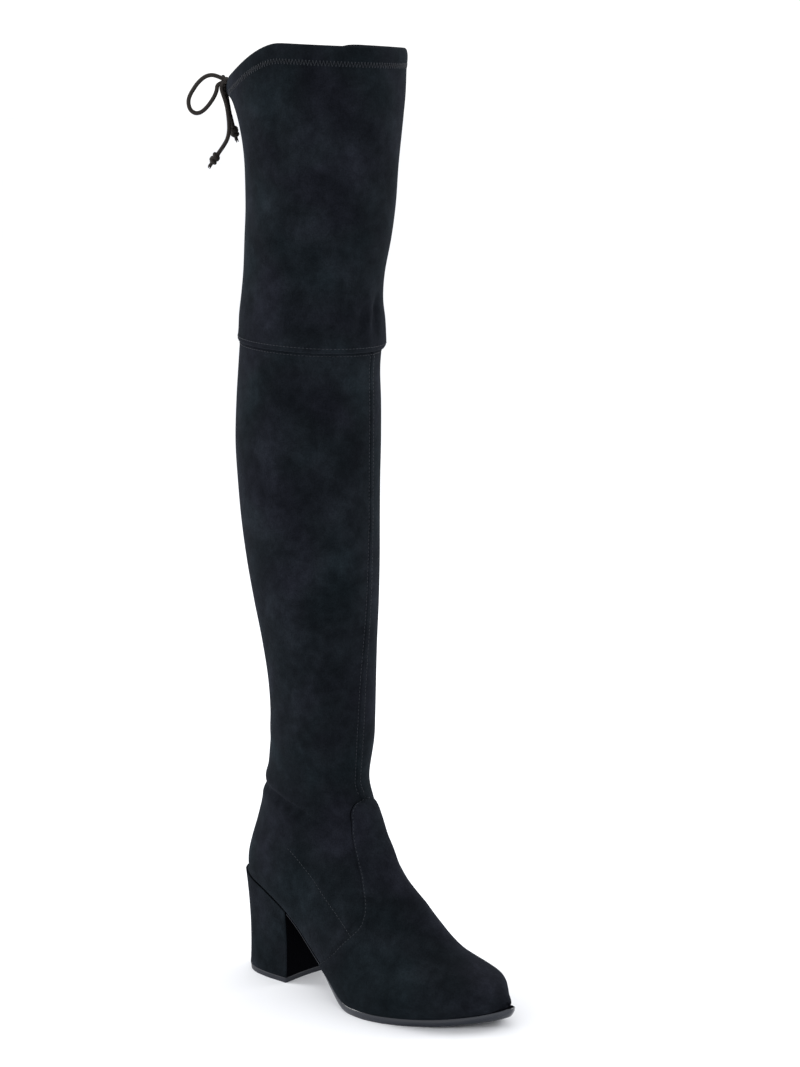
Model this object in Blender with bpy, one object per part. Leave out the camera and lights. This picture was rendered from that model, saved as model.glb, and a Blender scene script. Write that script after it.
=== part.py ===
"""Thigh-high boot for the right foot: suede upper over a covered block heel.

Metres, +Z up. The origin is the middle of the heel's ground face, the toe points to -Y and the
foot's outer side is -X. Below, "ahead" is the distance from the origin towards the toe.
"""

import math

import bmesh
import bpy
import numpy as np

# Driving sizes of foot and heel.
FOOT_LENGTH = 0.2375
HEEL_OVERHANG = 0.030
BALL_WIDTH = 0.084
HEEL_HEIGHT = 0.0775
INSTEP_HEIGHT = 0.102
TOE_SPRING = 0.0093
SOLE_THICKNESS = 0.0054
SOLE_EDGE = 0.0017
SOLE_CHAMFER = 0.0003
INSOLE_THICKNESS = 0.0025
INSOLE_MARGIN = 0.0034
TOP_PIECE_THICKNESS = 0.0038
TOP_PIECE_INSET = 0.008
HEEL_LENGTH = 0.0522
HEEL_WIDTH = 0.053
HEEL_CUP_LIP = 0.0009
HEEL_WAIST = 0.0048
BREAST_AHEAD = 0.025
BREAST_HOLLOW = 0.002

# Driving sizes of the leg.
ANKLE_RISE = 0.0885
ANKLE_DEPTH = 0.0865
ANKLE_WIDTH = 0.0630
CALF_DEPTH = 0.1080
CALF_WIDTH = 0.1004
KNEE_DEPTH = 0.1020
KNEE_WIDTH = 0.0964
THIGH_DEPTH = 0.1230
THIGH_WIDTH = 0.1150
SEAT_TO_KNEE = 0.3925
KNEE_TO_CASING = 0.1975
CASING_HEIGHT = 0.0115
CASING_THICKNESS = 0.0040
CASING_PROUD = 0.0006
SEAM_TILT = 0.006
LEG_TWIST = math.radians(10.5)
COLLAR_TURN = math.radians(17)
COLLAR_DIP = 0.0245
COLLAR_PINCH = 0.0085
COLLAR_FRONT_DIP = 0.003

# Walls, seams and clearances.
UPPER_WALL = 0.0018
THIGH_WALL = 0.0018
VAMP_WALL = 0.0011
FRONT_SEAM_WIDTH = 0.0034
FRONT_SEAM_RISE = 0.0007
SEAM_FADE = 0.005
GAP = 0.0003
VAMP_GAP = 0.0004
VAMP_LIFT = 0.0005
RIM_HEIGHT = 0.004
CORD_DIAMETER = 0.003

# The foot's sections, from the heel's back to the toe tip. Each is a slanting plane from the
# feather line (where upper meets sole) to the top of the foot.
# ahead, top_ahead: shares of FOOT_LENGTH, counted from the heel's back.
# edge_out, edge_in, out, in, ridge: shares of BALL_WIDTH: feather line and greatest half width
# on the foot's outer and inner side, and the ridge's place towards the inner side.
# drop: share of the heel's height over the sole; spring: share of TOE_SPRING.
# rise: top of the foot over the sole there, a share of INSTEP_HEIGHT.
# wide: where along the section it is widest; arch: exponent of its top.
FOOT = [
    # ahead edge_out edge_in drop spring top_ahead rise out    in    ridge wide  arch
    (0.000,  0.000,  0.000, 1.000, 0.00, 0.549, 0.982,  0.384,  0.367, 0.000, 0.35, 2.00),
    (0.010,  0.150,  0.145, 0.990, 0.00, 0.568, 0.920,  0.386,  0.364, 0.000, 0.35, 1.98),
    (0.034,  0.232,  0.226, 0.965, 0.00, 0.590, 0.864,  0.387,  0.360, 0.003, 0.35, 1.96),
    (0.076,  0.290,  0.285, 0.924, 0.00, 0.613, 0.808,  0.388,  0.357, 0.006, 0.35, 1.94),
    (0.135,  0.317,  0.312, 0.854, 0.00, 0.638, 0.756,  0.388,  0.356, 0.012, 0.35, 1.92),
    (0.196,  0.320,  0.312, 0.748, 0.00, 0.663, 0.710,  0.388,  0.358, 0.018, 0.34, 1.90),
    (0.236,  0.322,  0.303, 0.666, 0.00, 0.682, 0.676,  0.388,  0.360, 0.024, 0.35, 1.88),
    (0.290,  0.333,  0.278, 0.544, 0.00, 0.706, 0.629,  0.408,  0.365, 0.032, 0.34, 1.86),
    (0.362,  0.361,  0.249, 0.361, 0.00, 0.735, 0.571,  0.446,  0.381, 0.044, 0.33, 1.86),
    (0.446,  0.413,  0.259, 0.180, 0.00, 0.768, 0.498,  0.488,  0.404, 0.056, 0.33, 1.88),
    (0.531,  0.480,  0.313, 0.015, 0.00, 0.804, 0.428,  0.522,  0.436, 0.070, 0.33, 1.92),
    (0.606,  0.518,  0.390, 0.000, 0.00, 0.838, 0.375,  0.536,  0.462, 0.084, 0.33, 1.96),
    (0.674,  0.500,  0.446, 0.000, 0.00, 0.867, 0.328,  0.517,  0.484, 0.098, 0.34, 2.00),
    (0.737,  0.434,  0.464, 0.000, 0.00, 0.895, 0.286,  0.458,  0.486, 0.112, 0.35, 2.02),
    (0.792,  0.347,  0.450, 0.000, 0.03, 0.918, 0.252,  0.378,  0.464, 0.120, 0.36, 2.02),
    (0.842,  0.258,  0.410, 0.000, 0.12, 0.940, 0.212,  0.294,  0.410, 0.128, 0.37, 2.02),
    (0.888,  0.156,  0.360, 0.000, 0.26, 0.957, 0.161,  0.194,  0.348, 0.136, 0.39, 2.02),
    (0.930,  0.052,  0.318, 0.000, 0.44, 0.973, 0.113,  0.092,  0.286, 0.141, 0.41, 2.02),
    (0.966, -0.038,  0.262, 0.000, 0.68, 0.986, 0.072, -0.014,  0.242, 0.144, 0.44, 2.00),
    (0.990, -0.082,  0.212, 0.000, 0.90, 0.995, 0.038, -0.090,  0.200, 0.146, 0.47, 2.00),
    (1.000, -0.147,  0.147, 0.000, 1.00, 1.001, 0.014, -0.147,  0.147, 0.147, 0.50, 2.00),
]
BREAST_ROW = 6

# The ankle's sections, top to bottom, closed behind by the back line.
# back, front: shares of FOOT_LENGTH from the heel's back; back_up: share of ANKLE_RISE over
# the heel's seat; rise: as for the foot; width, ridge: shares of ANKLE_WIDTH.
ANKLE = [
    # back  back_up front rise  width wide ridge
    (0.096,  1.000, 0.450, 1.407, 1.000, 0.50, -0.063),
    (0.082,  0.810, 0.450, 1.317, 1.005, 0.50, -0.048),
    (0.061,  0.620, 0.466, 1.245, 1.010, 0.50, -0.026),
    (0.038,  0.435, 0.489, 1.178, 1.005, 0.46, -0.012),
    (0.013,  0.265, 0.511, 1.112, 0.995, 0.42,  0.000),
    (-0.003, 0.115, 0.530, 1.050, 0.985, 0.38,  0.000),
]

# The leg's sections, top to bottom. up: share of SEAT_TO_KNEE; middle: share of FOOT_LENGTH
# from the heel's back; grow: from the ankle's size (0) to the calf's (1); twist: share of
# LEG_TWIST; tilt: share of SEAM_TILT.
LEG = [
    # up    middle grow twist tilt
    (1.000, 0.243, 0.88,  1.00, 1.0),
    (0.955, 0.236, 0.89,  1.00, 0.7),
    (0.893, 0.233, 0.97,  1.00, 0.3),
    (0.819, 0.230, 1.00,  1.00, 0.0),
    (0.748, 0.232, 0.93,  1.00, 0.0),
    (0.674, 0.238, 0.84,  0.93, 0.0),
    (0.601, 0.248, 0.71,  0.68, 0.0),
    (0.526, 0.260, 0.51,  0.40, 0.0),
    (0.452, 0.272, 0.27,  0.00, 0.0),
    (0.380, 0.282, 0.09, -0.40, 0.0),
    (0.319, 0.285, 0.01, -0.58, 0.0),
    (0.272, 0.281, 0.00, -0.62, 0.0),
]

# The thigh's sections, bottom to top. up: share of KNEE_TO_CASING; middle: as for the leg;
# grow: from the knee's size (0) to the thigh's (1); slump: share of KNEE_SLUMP that the front
# hangs forward; tilt: share of SEAM_TILT; pull: share of the collar's dip and pinch.
KNEE_SLUMP = 0.0035
THIGH = [
    # up    middle grow slump tilt pull
    (0.000, 0.242, 0.16, 0.55, 1.0, 0.00),
    (0.030, 0.242, 0.19, 1.00, 1.0, 0.00),
    (0.095, 0.243, 0.15, 0.90, 0.8, 0.00),
    (0.170, 0.247, 0.03, 0.45, 0.6, 0.00),
    (0.260, 0.258, 0.04, 0.10, 0.4, 0.00),
    (0.380, 0.275, 0.22, 0.00, 0.2, 0.00),
    (0.500, 0.287, 0.33, 0.00, 0.1, 0.00),
    (0.640, 0.291, 0.46, 0.00, 0.0, 0.02),
    (0.780, 0.290, 0.76, 0.00, 0.0, 0.12),
    (0.890, 0.289, 0.98, 0.00, 0.0, 0.40),
    (1.000, 0.291, 1.02, 0.00, 0.0, 1.00),
]

# The vamp's edge as seen from the side, from its peak on the instep down to the sole.
# ahead: share of FOOT_LENGTH from the heel's back; up: share of INSTEP_HEIGHT.
VAMP_EDGE = [
    # ahead  up
    (0.4740, 1.420),
    (0.4620, 1.409),
    (0.4565, 1.388),
    (0.4570, 1.330),
    (0.4640, 1.263),
    (0.4710, 1.175),
    (0.4820, 1.086),
    (0.5010, 0.981),
    (0.5180, 0.904),
    (0.5340, 0.823),
    (0.5490, 0.748),
    (0.5570, 0.676),
    (0.5560, 0.586),
    (0.5340, 0.512),
    (0.5060, 0.440),
    (0.4800, 0.370),
    (0.4400, 0.302),
    (0.4040, 0.250),
]

# Routes of the bow at the back of the collar, in cord diameters from the drawstring's exit.
# out: away from the leg; up: height; deep: round the leg towards its back.
OUTER_LOOP = [
    # out    up     deep
    (2.47,   2.15,  0.05),
    (3.70,   2.45,  0.10),
    (5.25,   2.10,  0.25),
    (6.90,   0.80,  0.45),
    (8.15,  -0.85,  0.65),
    (9.10,  -2.50,  0.80),
    (9.40,  -4.00,  0.90),
    (8.95,  -5.65,  0.90),
    (7.75,  -6.45,  0.85),
    (6.45,  -6.20,  0.75),
    (5.15,  -5.15,  0.65),
    (3.95,  -3.65,  0.50),
    (3.05,  -2.15,  0.35),
    (2.60,  -0.85,  0.20),
    (2.42,   0.20,  0.10),
]
INNER_LOOP = [
    # out    up     deep
    (1.20,   2.00,  1.13),
    (1.05,   1.40,  2.50),
    (0.75,  -1.20,  3.80),
    (0.40,  -3.60,  4.45),
    (0.00,  -6.00,  4.60),
    (-0.30, -7.70,  4.20),
    (-0.40, -8.30,  3.50),
    (-0.25, -7.50,  2.90),
    (0.00,  -5.70,  2.70),
    (0.35,  -3.60,  2.55),
    (0.80,  -1.60,  2.35),
    (1.20,  -0.10,  1.95),
    (1.35,   0.95,  1.25),
]
OUTER_TAIL = [
    # out    up     deep
    (1.55,  -0.05, -0.30),
    (1.40,  -1.20, -0.25),
    (0.95,  -2.60, -0.10),
    (0.40,  -4.40,  0.00),
    (0.05,  -6.50,  0.00),
    (-0.15, -8.60,  0.00),
    (-0.15, -10.50, 0.00),
    (0.25,  -12.40, 0.00),
    (1.30,  -14.20, 0.00),
    (2.55,  -15.95, 0.00),
]
INNER_TAIL = [
    # out    up     deep
    (1.00,  -0.10,  0.65),
    (0.95,  -1.50,  1.00),
    (0.55,  -3.40,  1.30),
    (-0.05, -5.70,  1.40),
    (-0.55, -7.70,  1.70),
    (-0.95, -9.50,  2.25),
]
# Outlines of the knots, in cord diameters: distance along and radius.
BOW_KNOT = [(0.00, 0.00), (0.10, 0.55), (0.45, 0.92), (1.10, 1.05), (1.75, 0.95), (2.15, 0.58),
            (2.27, 0.00)]
END_KNOT = [(0.00, 0.00), (0.00, 0.55), (0.30, 1.00), (0.95, 1.20), (1.80, 1.17), (2.50, 0.85),
            (2.85, 0.50), (4.00, 0.57), (4.00, 0.00)]
KNOT_MIDDLE = (1.25, 1.30, 0.00)
BOW_BEARING = math.radians(42.6)

SIDE_COLUMNS = 15
COLORS = {
    "suede": ((0.012, 0.013, 0.019), 0.95),
    "sole": ((0.010, 0.010, 0.011), 0.32),
    "rubber": ((0.012, 0.012, 0.013), 0.55),
    "lining": ((0.030, 0.026, 0.024), 0.80),
    "cord": ((0.020, 0.016, 0.014), 0.85),
}


def clear_scene():
    for thing in list(bpy.data.objects):
        bpy.data.objects.remove(thing, do_unlink=True)


def material(slot):
    color, roughness = COLORS[slot]
    made = bpy.data.materials.get(slot) or bpy.data.materials.new(slot)
    made.use_nodes = True
    shader = made.node_tree.nodes["Principled BSDF"]
    shader.inputs["Base Color"].default_value = (*color, 1.0)
    shader.inputs["Roughness"].default_value = roughness
    return made


def add_mesh(name, points, faces, slot):
    """One named object; doubled points are shared by the caller, so nothing is merged here."""
    mesh = bpy.data.meshes.new(name)
    mesh.from_pydata([tuple(map(float, p)) for p in points], [], faces)
    work = bmesh.new()
    work.from_mesh(mesh)
    bmesh.ops.recalc_face_normals(work, faces=work.faces)
    work.to_mesh(mesh)
    work.free()
    mesh.shade_smooth()
    made = bpy.data.objects.new(name, mesh)
    made.data.materials.append(material(slot))
    bpy.context.scene.collection.objects.link(made)
    return made


def ahead_of(share):
    return share * FOOT_LENGTH - HEEL_OVERHANG


def share_of(ahead):
    return (ahead + HEEL_OVERHANG) / FOOT_LENGTH


def sole_top(row):
    """Height of the outsole's upper face at a row of FOOT."""
    return SOLE_THICKNESS + row[3] * (HEEL_HEIGHT - SOLE_THICKNESS) + row[4] * TOE_SPRING


def sole_top_at(share):
    return np.interp(share, [r[0] for r in FOOT], [sole_top(r) for r in FOOT])


class Section:
    """A closed or open curve in a slanting plane across the boot.

    It runs from its low or back point (ahead, height) to its front or top point, with half
    widths on the outer and inner side.
    """

    def __init__(self, values, twist=0.0):
        (self.back, self.back_z, self.front, self.front_z, self.out, self.inner, self.ridge,
         self.wide, self.arch, self.edge_out, self.edge_in) = values
        self.twist = twist

    def side(self, half, edge, sign, steps=24):
        """One side, from the top down to its end, as rows of x, ahead, height."""
        power = 2.0 / self.arch
        turn = np.linspace(math.pi / 2, 0, steps)
        x = self.ridge * sign - (self.ridge * sign - half) * np.cos(turn) ** power
        up = self.wide + (1 - self.wide) * np.sin(turn) ** power
        share = min(max(edge / half, -1.0), 1.0) if abs(half) > 1e-9 else 1.0
        end = math.acos(share)
        if half > 0 and end > 1e-4:
            low = np.linspace(0, end, steps)[1:]
            x = np.concatenate([x, half * np.cos(low)])
            up = np.concatenate([up, self.wide * (1 - np.sin(low) / math.sin(end))])
        else:
            low = np.linspace(0, 1, steps)[1:]
            x = np.concatenate([x, half + (edge - half) * low])
            up = np.concatenate([up, self.wide * (1 - low)])
        return np.stack([sign * x, self.back + (self.front - self.back) * up,
                         self.back_z + (self.front_z - self.back_z) * up], axis=1)

    def halves(self):
        """The two sides, each from the front seam's line down or round to the back."""
        inner = self.side(self.inner, self.edge_in, 1.0)
        outer = self.side(self.out, self.edge_out, -1.0)
        if abs(self.twist) < 1e-6:
            return outer, inner
        loop = np.concatenate([inner, outer[::-1][1:]])
        steps = np.linalg.norm(np.diff(loop, axis=0), axis=1)
        along = np.concatenate([[0], np.cumsum(steps)])
        total = along[-1]
        middle = (loop.max(axis=0) + loop.min(axis=0)) / 2
        side, way = (inner, 1) if self.twist > 0 else (outer, -1)
        bearing = np.arctan2(way * (side[:, 0] - middle[0]), side[:, 1] - middle[1])
        reach = np.concatenate([[0], np.cumsum(np.linalg.norm(np.diff(side, axis=0), axis=1))])
        start = way * float(np.interp(abs(self.twist), bearing, reach))

        def part(direction):
            at = (start + direction * np.linspace(0, total / 2, 60)) % total
            return np.stack([np.interp(at, along, loop[:, i]) for i in range(3)], axis=1)

        return part(-1), part(1)


def leg_section(up, middle, grow, twist, tilt):
    depth = ANKLE_DEPTH + grow * (CALF_DEPTH - ANKLE_DEPTH)
    width = ANKLE_WIDTH + grow * (CALF_WIDTH - ANKLE_WIDTH)
    height = HEEL_HEIGHT + up * SEAT_TO_KNEE
    centre = ahead_of(middle)
    lift = tilt * SEAM_TILT / 2
    return Section((centre - depth / 2, height + lift, centre + depth / 2, height - lift,
                    width / 2, width / 2, 0.0, 0.5, 2.0, 0.0, 0.0), twist * LEG_TWIST)


def ankle_section(back, back_up, front, rise, width, wide, ridge):
    half = width * ANKLE_WIDTH / 2
    return Section((ahead_of(back), HEEL_HEIGHT + back_up * ANKLE_RISE, ahead_of(front),
                    sole_top_at(front) + rise * INSTEP_HEIGHT,
                    half, half, ridge * ANKLE_WIDTH, wide, 2.0, 0.0, 0.0))


def foot_section(row):
    (ahead, edge_out, edge_in, _, _, top_ahead, rise, out, inner, ridge, wide, arch) = row
    return Section((ahead_of(ahead), sole_top(row) + GAP, ahead_of(top_ahead),
                    sole_top_at(top_ahead) + rise * INSTEP_HEIGHT + GAP,
                    out * BALL_WIDTH, inner * BALL_WIDTH, ridge * BALL_WIDTH, wide, arch,
                    edge_out * BALL_WIDTH, edge_in * BALL_WIDTH))


UPPER_ROWS = ([leg_section(*row) for row in LEG] + [ankle_section(*row) for row in ANKLE]
              + [foot_section(row) for row in FOOT])
HEEL_ROW = len(LEG) + len(ANKLE)


def spread(side, lengths):
    """Points of a side at the given distances from its start."""
    along = np.concatenate([[0], np.cumsum(np.linalg.norm(np.diff(side, axis=0), axis=1))])
    at = np.clip(np.asarray(lengths), 0, along[-1])
    return np.stack([np.interp(at, along, side[:, i]) for i in range(3)], axis=1)


def side_length(side):
    return float(np.linalg.norm(np.diff(side, axis=0), axis=1).sum())


def section_points(section, columns, strip=0.0):
    """Points across a section from the outer side to the inner one, 2 * columns + 1 of them.

    strip is the half width of the narrow pair of columns along the front seam.
    """
    halves = []
    for side in section.halves():
        length = side_length(side)
        first = min(strip, 0.3 * length)
        lengths = [0.0]
        if strip:
            lengths += [first + (length - first) * i / (columns - 1) for i in range(columns)]
        else:
            lengths += [length * (i + 1) / columns for i in range(columns)]
        halves.append(spread(side, lengths))
    outer, inner = halves
    points = np.concatenate([outer[::-1], inner[1:]])
    return np.stack([points[:, 0], -points[:, 1], points[:, 2]], axis=1)


def grid_normals(grid, closed=None):
    """Outward normals of a grid of rows by columns; closed says which rows meet at their ends."""
    down = np.gradient(grid, axis=0)
    across = np.gradient(grid, axis=1)
    if closed is not None:
        turn = (grid[:, 1] - grid[:, -2]) / 2
        across[closed, 0] = turn[closed]
        across[closed, -1] = turn[closed]
    normals = np.cross(down, across)
    size = np.linalg.norm(normals, axis=2, keepdims=True)
    normals = normals / np.maximum(size, 1e-12)
    return normals


def level_rims(normals, rows):
    """Lays the normals of rim rows level, so that the rim is square to the wall."""
    for i in rows:
        normals[i, :, 2] = 0.0
        normals[i] /= np.linalg.norm(normals[i], axis=1, keepdims=True)
    return normals


class Skin:
    """Collects points and faces, sharing points that coincide."""

    def __init__(self):
        self.points, self.faces, self.known = [], [], {}

    def point(self, p):
        key = tuple(int(round(float(v) * 1e7)) for v in p)
        if key not in self.known:
            self.known[key] = len(self.points)
            self.points.append(tuple(float(v) for v in p))
        return self.known[key]

    def face(self, *corners):
        ids = []
        for p in corners:
            i = self.point(p)
            if i not in ids:
                ids.append(i)
        if len(ids) >= 3:
            self.faces.append(tuple(ids))

    def sheet(self, grid, flip=False):
        """Triangles between rows, with the same diagonals on both faces of a wall."""
        for a, b in zip(grid[:-1], grid[1:]):
            for j in range(len(a) - 1):
                for corners in ((a[j], a[j + 1], b[j + 1]), (a[j], b[j + 1], b[j])):
                    self.face(*(corners[::-1] if flip else corners))

    def band(self, first, second, flip=False):
        self.sheet([first, second], flip)


def shell_solid(name, outer, inner, closed, slot, folded=True):
    """A wall between two grids; rows are closed rings where closed says so, else open arcs.

    folded says that the last row is the toe tip's line, which needs no rim.
    """
    skin = Skin()
    skin.sheet(outer, flip=True)
    skin.sheet(inner)
    skin.band(outer[0], inner[0])
    if not folded:
        skin.band(outer[-1], inner[-1], flip=True)
    for i in range(len(outer) - 1):
        if not (closed[i] and closed[i + 1]):
            skin.face(outer[i][0], inner[i][0], inner[i + 1][0], outer[i + 1][0])
            skin.face(outer[i + 1][-1], inner[i + 1][-1], inner[i][-1], outer[i][-1])
    return add_mesh(name, skin.points, skin.faces, slot)


def meet(grid, closed):
    """Makes the ends of each closed row the same point."""
    for i, is_closed in enumerate(closed):
        if is_closed:
            middle = (grid[i, 0] + grid[i, -1]) / 2
            grid[i, 0] = grid[i, -1] = middle
    return grid


def fold_tip(grid):
    """Makes the two halves of the toe tip's row the same line."""
    count = grid.shape[1]
    for j in range(count // 2):
        middle = (grid[-1, j] + grid[-1, count - 1 - j]) / 2
        grid[-1, j] = grid[-1, count - 1 - j] = middle
    return grid


def fix_tip_normals(normals):
    """The toe tip's row takes the way forward as its normal, tilted up towards its top."""
    count = normals.shape[1]
    for j in range(count):
        up = 1 - abs(j - count // 2) / (count // 2)
        normals[-1, j] = (0, -math.cos(0.6 * up), math.sin(0.6 * up))
    return normals


def upper_parts():
    """Grid of the upper's outer face, its normals and which rows are closed."""
    grid = np.array([section_points(row, SIDE_COLUMNS, FRONT_SEAM_WIDTH / 2)
                     for row in UPPER_ROWS])
    closed = [k <= HEEL_ROW for k in range(len(grid))]
    grid = fold_tip(meet(grid, closed))
    ring = np.array(closed)
    normals = level_rims(fix_tip_normals(grid_normals(grid, ring)), (0,))
    for end, side in ((0, 1), (-1, -1)):
        along = np.gradient(grid[HEEL_ROW:, end], axis=0)[1:-1]
        normals[HEEL_ROW + 1:-1, end] = np.stack([along[:, 1], -along[:, 0],
                                                  0 * along[:, 0]], axis=1) * side
    normals /= np.linalg.norm(normals, axis=2, keepdims=True)
    low = grid[:, :, 2] < sole_top_at(share_of(-grid[:, :, 1])) + RIM_HEIGHT
    normals[low, 2] = np.maximum(normals[low, 2], 0.0)
    normals /= np.linalg.norm(normals, axis=2, keepdims=True)
    for i, is_closed in enumerate(closed):
        if is_closed:
            middle = normals[i, 0] + normals[i, -1]
            normals[i, 0] = normals[i, -1] = middle / np.linalg.norm(middle)
    return grid, normals, closed


def seat_rim(rows, lift=GAP):
    """Sets the ends of open rows just over the sole's upper face."""
    for row in rows:
        for point in (row[0], row[-1]):
            point[2] = sole_top_at(share_of(-point[1])) + lift


def make_upper():
    grid, normals, closed = upper_parts()
    outer, inner = grid.copy(), grid - normals * UPPER_WALL
    seat_rim(inner[HEEL_ROW:])
    for i, row in enumerate(UPPER_ROWS):
        if row.front_z > VAMP_EDGE[0][1] * INSTEP_HEIGHT + SEAM_FADE:
            outer[i, SIDE_COLUMNS] += normals[i, SIDE_COLUMNS] * FRONT_SEAM_RISE
    shell_solid("upper", outer, fold_tip(meet(inner, closed)), closed, "suede")


def side_prism(outline):
    """A block across the boot with the given side outline, rows of ahead, height."""
    count = len(outline)
    points = [(x, -ahead, z) for x in (-BALL_WIDTH, BALL_WIDTH) for ahead, z in outline]
    faces = [tuple(range(count)), tuple(range(2 * count - 1, count - 1, -1))]
    faces += [(i, i + count, (i + 1) % count + count, (i + 1) % count) for i in range(count)]
    return add_mesh("cutter", points, faces, "suede")


def keep_inside(made, cutter):
    """Cuts a solid to the part of it inside the cutter."""
    cut = made.modifiers.new("cut", "BOOLEAN")
    cut.operation, cut.solver, cut.object = "INTERSECT", "EXACT", cutter
    view = bpy.context.evaluated_depsgraph_get()
    made.data = bpy.data.meshes.new_from_object(made.evaluated_get(view))
    made.modifiers.clear()
    bpy.data.objects.remove(cutter, do_unlink=True)


def make_vamp():
    """A second layer over the upper's own surface, cut to the vamp's edge."""
    grid, normals, closed = upper_parts()
    first = HEEL_ROW - len(ANKLE)
    low = fold_tip(meet(grid + normals * VAMP_GAP, closed))
    high = fold_tip(meet(grid + normals * (VAMP_GAP + VAMP_WALL), closed))
    for side in (low, high):
        seat_rim(side[HEEL_ROW:], VAMP_LIFT)
    shell = shell_solid("vamp", high[first:], low[first:], closed[first:], "suede")
    edge = [(ahead_of(ahead), up * INSTEP_HEIGHT) for ahead, up in VAMP_EDGE]
    peak, foot, far = edge[0], edge[-1], FOOT_LENGTH
    edge += [(foot[0], -HEEL_HEIGHT), (far, -HEEL_HEIGHT), (far, peak[1])]
    keep_inside(shell, side_prism(edge))


def collar_pull(points, middle, pull):
    """Dips and draws out the ring behind, where the drawstring gathers it, and dips the front."""
    moved = points.copy()
    back = np.array([-math.sin(COLLAR_TURN), math.cos(COLLAR_TURN)])
    for i, p in enumerate(points):
        way = p[:2] - middle
        way = way / np.linalg.norm(way)
        off = math.acos(max(-1.0, min(1.0, float(way @ back))))
        dip = max(0.0, math.cos(off * 90 / 85)) ** 1.5
        pinch = math.exp(-((off / math.radians(30)) ** 2))
        front = max(0.0, -math.cos(off))
        moved[i, 2] -= pull * (COLLAR_DIP * dip + COLLAR_FRONT_DIP * front)
        moved[i, :2] += way * pull * COLLAR_PINCH * pinch
    return moved


def thigh_ring(row, columns, lift=0.0):
    up, middle, grow, slump, tilt, pull = row
    depth = KNEE_DEPTH + grow * (THIGH_DEPTH - KNEE_DEPTH)
    width = KNEE_WIDTH + grow * (THIGH_WIDTH - KNEE_WIDTH)
    height = HEEL_HEIGHT + SEAT_TO_KNEE + GAP + up * KNEE_TO_CASING + lift
    centre = ahead_of(middle)
    tip = tilt * SEAM_TILT / 2
    section = Section((centre - depth / 2, height + tip,
                       centre + depth / 2 + slump * KNEE_SLUMP, height - tip,
                       width / 2, width / 2, 0.0, 0.5, 2.0, 0.0, 0.0), COLLAR_TURN)
    points = section_points(section, columns)
    return collar_pull(points, np.array([0.0, -centre]), pull)


def make_thigh():
    grid = np.array([thigh_ring(row, SIDE_COLUMNS) for row in THIGH])[::-1]
    closed = [True] * len(grid)
    grid = meet(grid, closed)
    normals = level_rims(grid_normals(grid, np.array(closed)), (0, -1))
    inner = meet(grid - normals * THIGH_WALL, closed)
    shell_solid("thigh_shaft", grid, inner, closed, "suede", folded=False)


def make_casing():
    """The folded hem at the top edge, a band with a rounded top."""
    base = thigh_ring(THIGH[-1], SIDE_COLUMNS)
    centre = np.array([0.0, -ahead_of(THIGH[-1][1])])
    profile = [(0.0, 0.0), (0.25, 0.0), (0.75, 0.0), (0.93, 0.14), (1.0, 0.5), (0.93, 0.86),
               (0.75, 1.0), (0.25, 1.0), (0.0, 1.0)]
    rings = []
    for up, in_share in profile:
        ring = base.copy()
        way = ring[:, :2] - centre
        way /= np.linalg.norm(way, axis=1, keepdims=True)
        ring[:, :2] += way * (CASING_PROUD - in_share * CASING_THICKNESS)
        ring[:, 2] += GAP + up * CASING_HEIGHT
        rings.append(ring)
    skin = Skin()
    rings = [meet(np.array([ring]), [True])[0] for ring in rings]
    skin.sheet(rings)
    skin.band(rings[-1], rings[0])
    add_mesh("drawstring_casing", skin.points, skin.faces, "suede")


def feather_outline():
    """The feather line in plan: outer side then inner side, rows of x, ahead."""
    outer = [(-row[1] * BALL_WIDTH, ahead_of(row[0])) for row in FOOT]
    inner = [(row[2] * BALL_WIDTH, ahead_of(row[0])) for row in FOOT]
    return np.array(outer), np.array(inner)


def offset_outline(outer, inner, amount):
    """Moves the closed plan outline outwards by an amount for each row."""
    loop = np.concatenate([outer, inner[-2:0:-1]])
    way = np.roll(loop, -1, axis=0) - np.roll(loop, 1, axis=0)
    out = np.stack([-way[:, 1], way[:, 0]], axis=1)
    out /= np.linalg.norm(out, axis=1, keepdims=True)
    count = len(outer)
    amounts = np.concatenate([amount, amount[-2:0:-1]])
    moved = loop + out * amounts[:, None]
    new_inner = np.concatenate([[moved[0]], moved[count:][::-1], [moved[count - 1]]])
    return moved[:count], new_inner


def slab(name, outer, inner, lift, thickness, slot, start=0, chamfer=0.0):
    """A plate whose top lies lift over the sole's upper face, from a row to the toe tip."""
    skin = Skin()
    rows = range(start, len(outer))

    def line(i, drop, inset):
        a, b = outer[i].copy(), inner[i].copy()
        if inset and np.linalg.norm(b - a) > 4 * inset:
            step = (b - a) / np.linalg.norm(b - a) * inset
            a, b = a + step, b - step
        share = np.linspace(0, 1, 5)[:, None]
        points = a + (b - a) * share
        return [(p[0], -p[1], sole_top_at(share_of(p[1])) + lift - drop) for p in points]

    top = [line(i, 0.0, 0.0) for i in rows]
    low = [line(i, thickness, chamfer) for i in rows]
    skin.sheet(top)
    skin.sheet(low, flip=True)
    skin.band(low[0], top[0])
    skin.band(top[-1], low[-1])
    for a, b, c, d in zip(top[:-1], top[1:], low[:-1], low[1:]):
        skin.face(a[0], b[0], d[0], c[0])
        skin.face(b[-1], a[-1], c[-1], d[-1])
    return add_mesh(name, skin.points, skin.faces, slot)


def make_outsole():
    outer, inner = feather_outline()
    shares = np.array([row[0] for row in FOOT])
    edge = SOLE_EDGE * np.interp(shares, [0.25, 0.45, 0.6], [0.2, 0.5, 1.0])
    outer, inner = offset_outline(outer, inner, edge)
    slab("outsole", outer, inner, 0.0, SOLE_THICKNESS, "sole", BREAST_ROW, SOLE_CHAMFER)


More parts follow.
